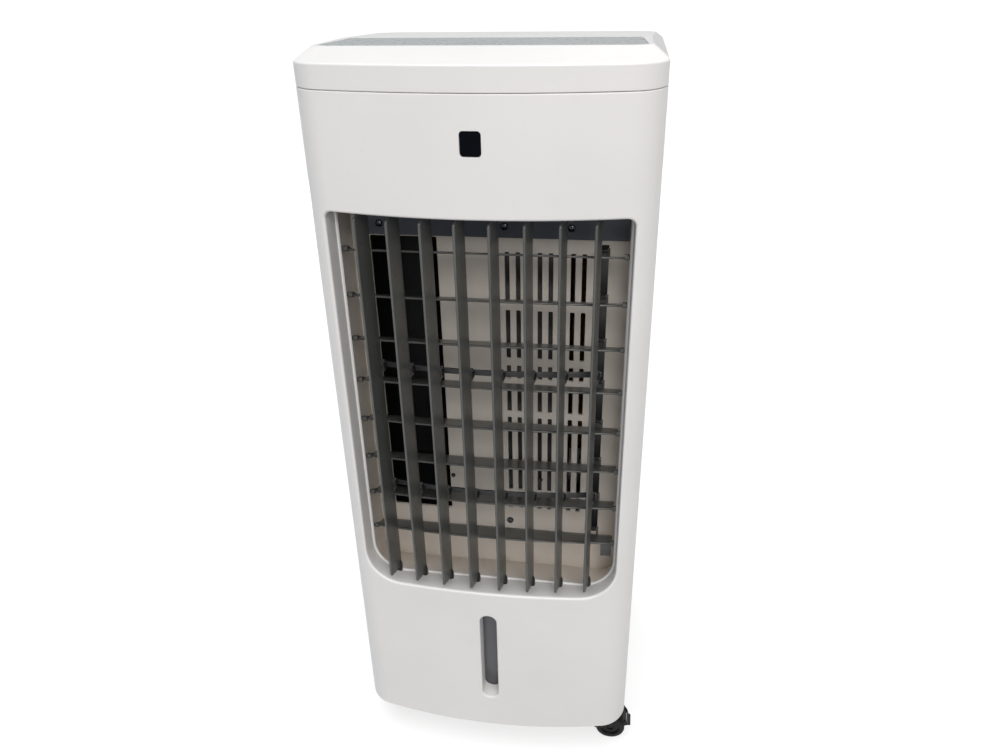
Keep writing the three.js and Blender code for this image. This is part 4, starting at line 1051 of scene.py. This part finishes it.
def build_vertical_louvres():
    for i in range(BLADE_COUNT):
        kit = Kit()
        vertical_louvre(kit)
        x, y = blade_pivot(i)
        kit.transform(Matrix.Translation((x, y, 0)) @ Matrix.Rotation(BLADE_REST, 4, "Z"))
        name = f"vertical_louvre_{i + 1}"
        kit.make(f"vertical_blade_{i + 1}", [LOUVRE, BLACK], name, [name], sharp=38)


def link_pin(index):
    x, y = blade_pivot(index)
    return x - LINK_ARM * sin(BLADE_REST), y + LINK_ARM * cos(BLADE_REST)


def clip_outline():
    """A C-shaped clip that opens towards the front, its lips turned out."""
    inner, outer, gap = 1.5, 2.75, 0.42
    points = arc(0, 0, outer, -pi / 2 + gap + 0.25, 1.5 * pi - gap - 0.25, 22)
    points += [(-1.6, -2.45), (-1.55, -2.65), (-1.2, -2.75), (-0.75, -2.3)]
    points += list(reversed(arc(0, 0, inner, -pi / 2 + gap * 1.3, 1.5 * pi - gap * 1.3, 20)))
    points += [(0.75, -2.3), (1.2, -2.75), (1.55, -2.65), (1.6, -2.45)]
    return points


def build_swing_links():
    first_x, last_x = link_pin(0)[0], link_pin(BLADE_COUNT - 1)[0]
    shift = link_pin(0)[1] - front_y(blade_pivot(0)[0])
    middle = (first_x + last_x) / 2
    for z, name in zip(LINK_HEIGHTS, ("swing_link_upper", "swing_link_lower")):
        kit = Kit()
        rings = []
        section = [(2.2, -2.2), (2.6, -2.7), (3.9, -2.7), (4.3, -2.3),
                   (4.3, 2.3), (3.9, 2.7), (2.6, 2.7), (2.2, 2.2)]
        for s in range(37):
            x = first_x - 4 + (last_x - first_x + 8) * s / 36
            y = front_y(x - middle) + shift
            rings.append([(x, y + dy, z + dz) for dy, dz in section])
        kit.loft(rings)
        for i in range(BLADE_COUNT):
            x, y = link_pin(i)
            kit.prism([(x + u, y + v) for u, v in clip_outline()], z - 2.6, z + 2.6)
        kit.make(f"{name}_bar", [BLACK], name, [name], sharp=40, bevel=0.22)


# ---- horizontal louvres
def slat_z(index):
    return SLAT_TOP_Z - index * SLAT_PITCH


def slat_front(x):
    """The front edge keeps just behind the vertical blades, measured from the pins."""
    return front_y(x) + BLADE_INSET + BLADE_FRONT + BLADE_REAR + SLAT_CLEARANCE - SLAT_PIN_Y


def horizontal_louvre(kit, index):
    pin_y = TILT_ARM * cos(SLAT_REST) - TILT_DROP * sin(SLAT_REST)
    pin_z = -TILT_ARM * sin(SLAT_REST) - TILT_DROP * cos(SLAT_REST)
    rear = SLAT_REAR
    rings = []
    for s in range(41):
        x = -SLAT_HALF + 2 * SLAT_HALF * s / 40
        front = slat_front(x)
        upper = [(front + 0.02, 0.0), (front + 0.15, 0.45), (front + 0.5, 0.82), (front + 1.1, 0.98),
                 (front + 5.0, 0.95), (rear - 6.0, 0.8), (rear - 0.6, 0.7), (rear, 0.3)]
        rings.append([(x, y, z - 1) for y, z in upper] + [(x, y, -z - 1) for y, z in reversed(upper[1:])])
    kit.loft(rings)
    fin = [(-2.3, -1.5), (-1.6, -2.2), (0, -2.5), (2.4, -2.4), (9, -1.9), (14, -1.8),
           (14, -0.2), (9, 0.4), (2.4, 2.1), (0, 2.5), (-1.6, 2.2), (-2.3, 1.5)]
    for side in (-1, 1):
        a, b = sorted((side * SLAT_HALF, side * (SLAT_HALF - 2)))
        kit.prism(fin, a, b, "x")
        x0, x1 = sorted((side * (SLAT_HALF - 1), side * (DUCT_HALF + 1.4)))
        kit.lathe([(1.7, x0), (1.7, x1 - 0.5), (1.3, x1)], (0, 0, 0), "x", 18)
        c0, c1 = sorted((side * (SLAT_HALF - 0.5), side * (SLAT_HALF + 1.6)))
        kit.lathe([(2.3, c0), (2.6, c0 + 0.4), (2.6, c1 - 0.4), (2.3, c1)], (0, 0, 0), "x", 20)
    ear = [(rear - 7, -1), (rear - 0.5, -1), (pin_y + 1.3, pin_z - 1.2), (pin_y + 1.7, pin_z)]
    ear += arc(pin_y, pin_z, 1.7, 0.3, pi, 8)
    for side in (-1, 1):
        a, b = sorted((TILT_LINK_X + side * 2.8, TILT_LINK_X + side * 4.6))
        kit.prism(ear, a, b, "x")
    kit.lathe([(1.2, TILT_LINK_X - 4), (1.2, TILT_LINK_X + 4)], (0, pin_y, pin_z), "x", 16)
    kit.transform(Matrix.Rotation(SLAT_REST, 4, "X"))
    if index == SLAT_COUNT - 1:
        tab = [(1.6, -0.8), (1.6, -17.4), (2.1, -18), (2.9, -18), (3.4, -17.4), (3.4, -0.8)]
        kit.prism(tab, 106.5, 116.8, "x")


def build_horizontal_louvres():
    for i in range(SLAT_COUNT):
        kit = Kit()
        horizontal_louvre(kit, i)
        kit.transform(Matrix.Translation((0, SLAT_PIN_Y, slat_z(i))))
        name = f"horizontal_louvre_{i + 1}"
        kit.make(f"horizontal_blade_{i + 1}", [LOUVRE], name, [name], sharp=38, bevel=0.18)


def build_tilt_link():
    kit = Kit()
    pin_y = SLAT_PIN_Y + TILT_ARM
    low, high = slat_z(SLAT_COUNT - 1) - TILT_DROP - 2.9, slat_z(0) - TILT_DROP + 2.9
    kit.box(TILT_LINK_X - 3.5, TILT_LINK_X + 3.5, pin_y + 2.2, pin_y + 4.6, low, high)
    for i in range(SLAT_COUNT):
        z = slat_z(i) - TILT_DROP
        outline = [(pin_y + v, z + u) for u, v in clip_outline()]
        kit.prism(outline, TILT_LINK_X - 2.4, TILT_LINK_X + 2.4, "x")
    kit.make("tilt_link_bar", [BLACK], "tilt_link", ["tilt_link"], sharp=40, bevel=0.25)


# ---- grille, net and pad
def build_grille():
    kit = Kit()
    half, low, high = GRILLE_HALF - GRILLE_BORDER, GRILLE_LOW + GRILLE_BORDER, GRILLE_HIGH - GRILLE_BORDER
    outer = even_loop(GRILLE_HALF, GRILLE_LOW, GRILLE_HIGH, 3.6, 20, 1.5)
    inner = even_loop(half, low, high, 3.6, 20, 1.5)
    fronts, backs = [], []
    for loop, sign in ((outer, 1), (inner, -1)):
        corners, outs = upright(loop, REAR_Y)
        outs = [o * sign for o in outs]
        starts, first, last = roll_edge(kit, corners, [-o for o in outs], BACKWARD, 1.2, 3)
        back = kit.add([(x, GRILLE_BACK_Y, z) for x, z, _, _ in loop])
        kit.strip(last, back, outs, outs)
        fronts.append((first, [(s.x, s.z) for s in starts]))
        backs.append((back, bare(loop)))
    fill(kit, fronts, flat_surface("y", REAR_Y, 1), [], [], 3.0)
    fill(kit, backs, flat_surface("y", GRILLE_BACK_Y, -1), [], [], 3.0)
    step = (high - low) / (GRILLE_BLADES + 1)
    blade = [(-2.6, 1.6), (-2.2, 2.1), (2.0, -0.1), (2.6, -1.0), (2.5, -1.7), (1.9, -1.8),
             (-2.3, 0.4), (-2.7, 1.1)]
    for i in range(1, GRILLE_BLADES + 1):
        z = low + i * step
        kit.prism([(GRILLE_BLADE_Y + u, z + v) for u, v in blade], -half - 0.5, half + 0.5, "x")
    for x in (-51.0, 0.0, 51.0):
        kit.box(x - 1.2, x + 1.2, 126.2, 131.4, GRILLE_LOW + 8, GRILLE_HIGH - 8)
    kit.make("rear_grille_frame", [SHELL], "grille_frame", ["rear_grille"], sharp=38)


def build_net():
    kit = Kit()
    x0, x1 = -GRILLE_HALF + 2, GRILLE_HALF - 2
    z0, z1 = GRILLE_LOW + 2, GRILLE_HIGH - 2
    edge = NET_BORDER
    for a, b, c, d in ((x0, x1, z0, z0 + edge), (x0, x1, z1 - edge, z1),
                       (x0, x0 + edge, z0 + edge, z1 - edge), (x1 - edge, x1, z0 + edge, z1 - edge)):
        kit.box(a, b, 121.5, 123.6, c, d)
    wide, tall = x1 - x0 - 2 * edge, z1 - z0 - 2 * edge
    columns, rows = int(wide / NET_PITCH), int(tall / NET_PITCH)
    for i in range(1, columns):
        x = x0 + edge + wide * i / columns
        kit.box(x - NET_WIRE, x + NET_WIRE, 122.2, 122.8, z0 + 4, z1 - 4)
    for i in range(1, rows):
        z = z0 + edge + tall * i / rows
        kit.box(x0 + 4, x1 - 4, 122.5, 123.1, z - NET_WIRE, z + NET_WIRE)
    kit.make("dust_net", [NET], "grille_frame", ["dust_filter"])


def build_pad():
    """Fluted paper: flat liners with a wave between each pair."""
    kit = Kit()
    random.seed(5)
    x0, x1 = -GRILLE_HALF + 4, GRILLE_HALF - 4
    z0, z1 = GRILLE_LOW + 3, GRILLE_HIGH - 6
    pitch = (z1 - z0) / PAD_LAYERS
    front, rear = PAD_FRONT_Y, PAD_BACK_Y
    for k in range(PAD_LAYERS):
        base = z0 + k * pitch
        phase = random.uniform(0, tau)
        rings = []
        for s in range(85):
            x = x0 + (x1 - x0) * s / 84
            z = base + pitch * (0.5 + 0.36 * sin(tau * x / FLUTE + phase))
            rings.append([(x, front, z - 0.25), (x, rear, z - 0.25), (x, rear, z + 0.25),
                          (x, front, z + 0.25)])
        kit.loft(rings)
        kit.box(x0, x1, front, rear - 0.2, base, base + 0.5)
    kit.make("cooling_pad_paper", [PAD], "grille_frame", ["cooling_pad"])


# ---- tank
def rounded_rectangle(x0, x1, y0, y1, radius):
    """Always the same number of points, so that rings of different sizes join."""
    left, right, front, back = x0 + radius, x1 - radius, y0 + radius, y1 - radius
    points = []
    for x, y, start in ((left, front, pi), (right, front, 1.5 * pi),
                        (right, back, 0.0), (left, back, 0.5 * pi)):
        points += arc(x, y, radius, start, start + pi / 2, 8)
    return points


def build_tank():
    face_y, corner, scoop = REAR_Y - 0.2, 3.0, 9.0
    kit = Kit()
    outline = arc(-TANK_HALF + corner, TANK_LOW + corner, corner, pi, 1.5 * pi, 5)
    outline += arc(TANK_HALF - corner, TANK_LOW + corner, corner, 1.5 * pi, tau, 5)
    outline += [(TANK_HALF, LEDGE_LOW), (GRIP_HALF, LEDGE_LOW)]
    outline += arc(GRIP_HALF - scoop, GRIP_LOW + scoop, scoop, 1.5 * pi, tau, 8)[::-1]
    outline += arc(scoop - GRIP_HALF, GRIP_LOW + scoop, scoop, pi, 1.5 * pi, 8)[::-1]
    outline += [(-GRIP_HALF, LEDGE_LOW), (-TANK_HALF, LEDGE_LOW)]
    kit.prism(outline, GRIP_FLOOR_Y, face_y, "y")
    kit.make("tank_face", [SHELL], "tank", bevel=1.1, segments=3)
    kit = Kit()
    edge = LATCH_SEAT_Y
    outline = [(GRIP_FLOOR_Y, LEDGE_LOW), (edge, LEDGE_LOW), (edge, TANK_HIGH - 1),
               (edge - 0.3, TANK_HIGH - 0.3), (edge - 1, TANK_HIGH), (GRIP_FLOOR_Y, TANK_HIGH)]
    kit.prism(outline, -TANK_HALF, TANK_HALF, "x")
    kit.make("tank_ledge", [SHELL], "tank")

    kit = Kit()
    low, high, wall, rear = TANK_LOW, TANK_HIGH, 2.6, GRIP_FLOOR_Y + 0.2

    def tub(inset, z, radius):
        half = TANK_HALF - inset
        outline = rounded_rectangle(-half, half, TANK_FRONT_Y + inset, rear - inset, radius)
        return [(x, y, z) for x, y in outline]

    outside = ((3.0, low, 9), (0.9, low + 0.8, 10), (0.4, low + 3, 10), (0, high - 4, 10),
               (0, high - 0.4, 10), (0.5, high, 10))
    inside = ((wall, high, 8), (wall, high - 4, 8), (wall + 0.4, low + 6, 8), (wall + 3, low + wall, 6))
    kit.loft([tub(*level) for level in outside + inside])
    kit.make("tank_tub", [TANK], "tank", ["water_tank"], sharp=40)

    kit = Kit()
    kit.prism(bare(even_loop(16, LATCH_Z - 5, LATCH_Z + 5, 4.95, 4, 0.9)), LATCH_SEAT_Y + 0.7, 133.2, "y")
    kit.lathe([(4.0, 132.9), (4.0, 134.2), (3.4, 134.8), (0.3, 134.8)], (0, 0, LATCH_Z), "y", 28)
    kit.make("tank_latch_bar", [BUTTON], "tank_latch", ["tank_latch"],
             bevel=0.6, segments=3, sharp=38)


# ---- casters
def caster_hood(kit, brake):
    """The hood over both wheels, its web, neck and stem, in the caster's own frame."""
    outer, inner, hub, half = WHEEL + 3, WHEEL + 1, 7.0, 13.5
    side = [(outer, half - 3.0), (outer - 0.4, half - 1.5), (outer - 1.5, half - 0.4),
            (outer - 3.0, half), (hub, half), (hub, half - 1.4), (inner - 2, half - 1.4),
            (inner, half - 3.0)]
    section = side + [(r, -y) for r, y in reversed(side)]
    section = section[-1:] + section[:-1]
    start = radians(28 if brake else 4)
    rings = []
    for i in range(41):
        a = start + (pi - radians(4) - start) * i / 40
        rings.append([(TRAIL + r * cos(a), y, WHEEL + r * sin(a)) for r, y in section])
    kit.loft(rings)
    web = arc(TRAIL, WHEEL, outer - 0.8, start + 0.1, pi, 24) + arc(TRAIL, WHEEL, hub, pi, tau, 12)
    kit.prism(web, -3.0, 3.0, "y")
    if brake:
        ears_and_guards = ((19.7, 13, 7.2, 9.2), (19.7, 13, -9.2, -7.2),
                           (16.4, 8, -9.0, 9.0), (17.9, 17, -9.0, 9.0))
        for reach, low, y0, y1 in ears_and_guards:
            upper, lower = (arc(TRAIL, WHEEL, r, radians(low), start + 0.1, 10)
                            for r in (reach, WHEEL + 0.4))
            kit.prism(upper + lower[::-1], y0, y1, "y")
    neck = ((7.5, 9), (8.6, 7), (9.0, 3), (9.0, 0.9), (8.5, 0.4))
    kit.lathe([(r, BODY_BOTTOM - below) for r, below in neck], (0, 0, 0), "z", 28)
    kit.lathe([(4.0, BODY_BOTTOM - 1), (4.0, 49), (3.2, 50)], (0, 0, 0), "z", 20)


def caster_wheels(kit):
    """Both wheels: a hub cap and a dished face outside, and a deep groove between them."""
    r, face = WHEEL, 11.4
    side = [(0.3, face - 1.2), (3.2, face - 1.2), (3.5, face - 0.3), (4.4, face - 0.3), (4.8, face - 1.6),
            (9.6, face - 1.6), (10.2, face - 0.2), (11.0, face), (r - 1.6, face), (r - 0.6, face - 0.5),
            (r, face - 1.6), (r, 5.2), (r - 0.5, 4.3), (r - 1.2, 4.0), (2.5, 4.0)]
    kit.lathe(side + [(radius, -along) for radius, along in reversed(side)], (TRAIL, 0, r), "y", 48)


def brake_lever(kit):
    z = WHEEL
    outline = [(TRAIL + 17.4, z + 2.6), (35.0, z + 1.5), (35.8, z + 1.9), (36, z + 2.6),
               (35.6, z + 3.4), (34.0, z + 4.4), (32.4, z + 7.2), (TRAIL + 17.7, z + 8.4)]
    kit.prism(outline, -6.9, 6.9, "y")


def build_casters():
    for name, x, y, turn, brake in CASTERS:
        pieces = [("caster_hood", "caster", "caster_fork", lambda kit: caster_hood(kit, brake), 0.0),
                  ("caster_twin_wheel", "wheels", "caster_wheels", caster_wheels, 0.0),
                  ("caster_brake", "brake", "brake_lever", brake_lever, 0.4)]
        for piece, body, node, shape, bevel in pieces[:3 if brake else 2]:
            kit = Kit()
            shape(kit)
            kit.transform(Matrix.Translation((x, y, 0)) @ Matrix.Rotation(radians(turn), 4, "Z"))
            kit.make(f"{piece}_{name}", [TYRE], f"{body}_{name}", [f"{node}_{name}"],
                     bevel=bevel, sharp=40)


# ---- CAD nodes that stay
CARRIED = {
    "circuit_board": (BOARD, 0.0),
    "swing_motor": (STEEL, 0.6),
    "swing_crank": (BLACK, 0.4),
    "blower_housing": (BLACK, 0.0),
    "blower_wheel": (BLACK, 0.0),
    "blower_motor": (STEEL, 1.0),
    "water_tray": (DUCT, 0.0),
    "water_pump": (BLACK, 0.8),
    "water_hose": (HOSE, 0.0),
    "base_plate": (BLACK, 0.0),
}


def dress_carried():
    for name, (material, width) in CARRIED.items():
        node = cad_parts[name]
        node.data.materials.clear()
        node.data.materials.append(material)
        if width:
            soften(node, width)


# ---- floor, light and camera
def stage_piece(name, points, faces, material):
    """Part of the studio: seen by the camera, but it neither bounces nor blocks light."""
    mesh = bpy.data.meshes.new(name)
    mesh.from_pydata(points, [], faces)
    mesh.polygons.foreach_set("use_smooth", [True] * len(faces))
    mesh.materials.append(material)
    piece = show(name, mesh)
    piece.visible_diffuse = False
    piece.visible_shadow = False
    return piece


def build_stage():
    """A round floor that curves up into a backdrop far behind, on every side."""
    material, nodes, links, shader = new_material("floor_pale")
    where = nodes.new("ShaderNodeTexCoord").outputs["Object"]
    cloud = noise(nodes, links, where, 3.0)
    tint = mix_colour(nodes, links, cloud, (0.30, 0.30, 0.30, 1), (0.34, 0.34, 0.34, 1))
    links.new(tint, shader.inputs["Base Color"])
    settle(shader, Roughness=0.9, Specular_IOR_Level=0.1, Emission_Color=(1.0, 1.0, 1.0, 1),
           Emission_Strength=0.72)

    flat, rise, around = 14.0, 10.0, 64
    turns = [tau * i / around for i in range(around)]
    rim = [(flat * cos(t), flat * sin(t), 0) for t in turns]
    stage_piece("floor", rim, [tuple(range(around))], material)
    points = []
    for step in range(11):
        a = radians(9 * step)
        radius, z = flat + rise * sin(a), rise * (1 - cos(a))
        points += [(radius * cos(t), radius * sin(t), z) for t in turns]
    faces = []
    for low in range(0, 10 * around, around):
        for i in range(around):
            j = (i + 1) % around
            faces.append((low + i, low + around + i, low + around + j, low + j))
    backdrop = stage_piece("backdrop", points, faces, material)
    backdrop.visible_glossy = False

    world = bpy.data.worlds.new("studio")
    world.use_nodes = True
    settle(world.node_tree.nodes["Background"], Color=(1.0, 1.0, 1.0, 1), Strength=0.37)
    bpy.context.scene.world = world


def area_light(name, place, target, size, power, colour=(1, 1, 1)):
    data = bpy.data.lights.new(name, "AREA")
    data.shape = "RECTANGLE"
    data.size, data.size_y = size
    data.energy = power
    data.color = colour
    lamp = show(name, data)
    lamp.location = place
    lamp.rotation_mode = "QUATERNION"
    lamp.rotation_quaternion = (Vector(target) - Vector(place)).to_track_quat("-Z", "Y")
    return lamp


def sun_light(name, come_from, strength, spread_angle, colour=(1, 1, 1)):
    data = bpy.data.lights.new(name, "SUN")
    data.energy = strength
    data.angle = radians(spread_angle)
    data.color = colour
    lamp = show(name, data)
    lamp.rotation_mode = "QUATERNION"
    lamp.rotation_quaternion = (-Vector(come_from)).to_track_quat("-Z", "Y")


def build_lights():
    sun_light("key", (0.28, -1.0, 0.5), 0.95, 30, (1.0, 0.975, 0.945))
    sun_light("overhead", (-0.1, -0.1, 1.0), 1.75, 50, (0.95, 0.98, 1.0))
    back = area_light("back_fill", (-0.7, 2.2, 0.3), (0, 0, 0.3), (1.5, 0.5), 15.0)
    back.visible_glossy = False
    area_light("front_softbox", (0.45, -1.25, 1.75), (0.05, -0.1, 0.62), (0.8, 0.8), 9.5,
               (1.0, 0.96, 0.92))
    area_light("left_window", (-2.0, -1.4, 0.4), (0, 0, 0.3), (1.4, 1.2), 2.0, (0.70, 0.85, 1.0))
    area_light("right_fill", (2.0, -1.4, 1.7), (0, 0, 0.6), (1.4, 1.4), 1.0, (1.0, 0.93, 0.84))


def build_camera():
    yaw, pitch, roll = radians(9.091), radians(28.431), radians(-1.376)
    ahead = Vector((-sin(yaw) * cos(pitch), cos(yaw) * cos(pitch), -sin(pitch)))
    level = Vector((cos(yaw), sin(yaw), 0))
    above = level.cross(ahead)
    right = level * cos(roll) + above * sin(roll)
    upward = above * cos(roll) - level * sin(roll)
    data = bpy.data.cameras.new("camera")
    data.sensor_width = 36.0
    data.lens = 30.08
    data.clip_start, data.clip_end = 0.05, 60.0
    camera = show("camera", data)
    turn = Matrix((right, upward, -ahead)).transposed().to_4x4()
    camera.matrix_world = Matrix.Translation(Vector((114.194, -735.709, 792.192)) * MM) @ turn
    bpy.context.scene.camera = camera
    bpy.context.scene.view_settings.view_transform = "Standard"


build_stage()
build_lights()
build_camera()
build_front_panel()
build_windows()
build_rear_housing()
build_top_cap()
build_controls()
build_duct()
build_rail()
build_vertical_louvres()
build_swing_links()
build_horizontal_louvres()
build_tilt_link()
build_grille()
build_net()
build_pad()
build_tank()
build_casters()
dress_carried()
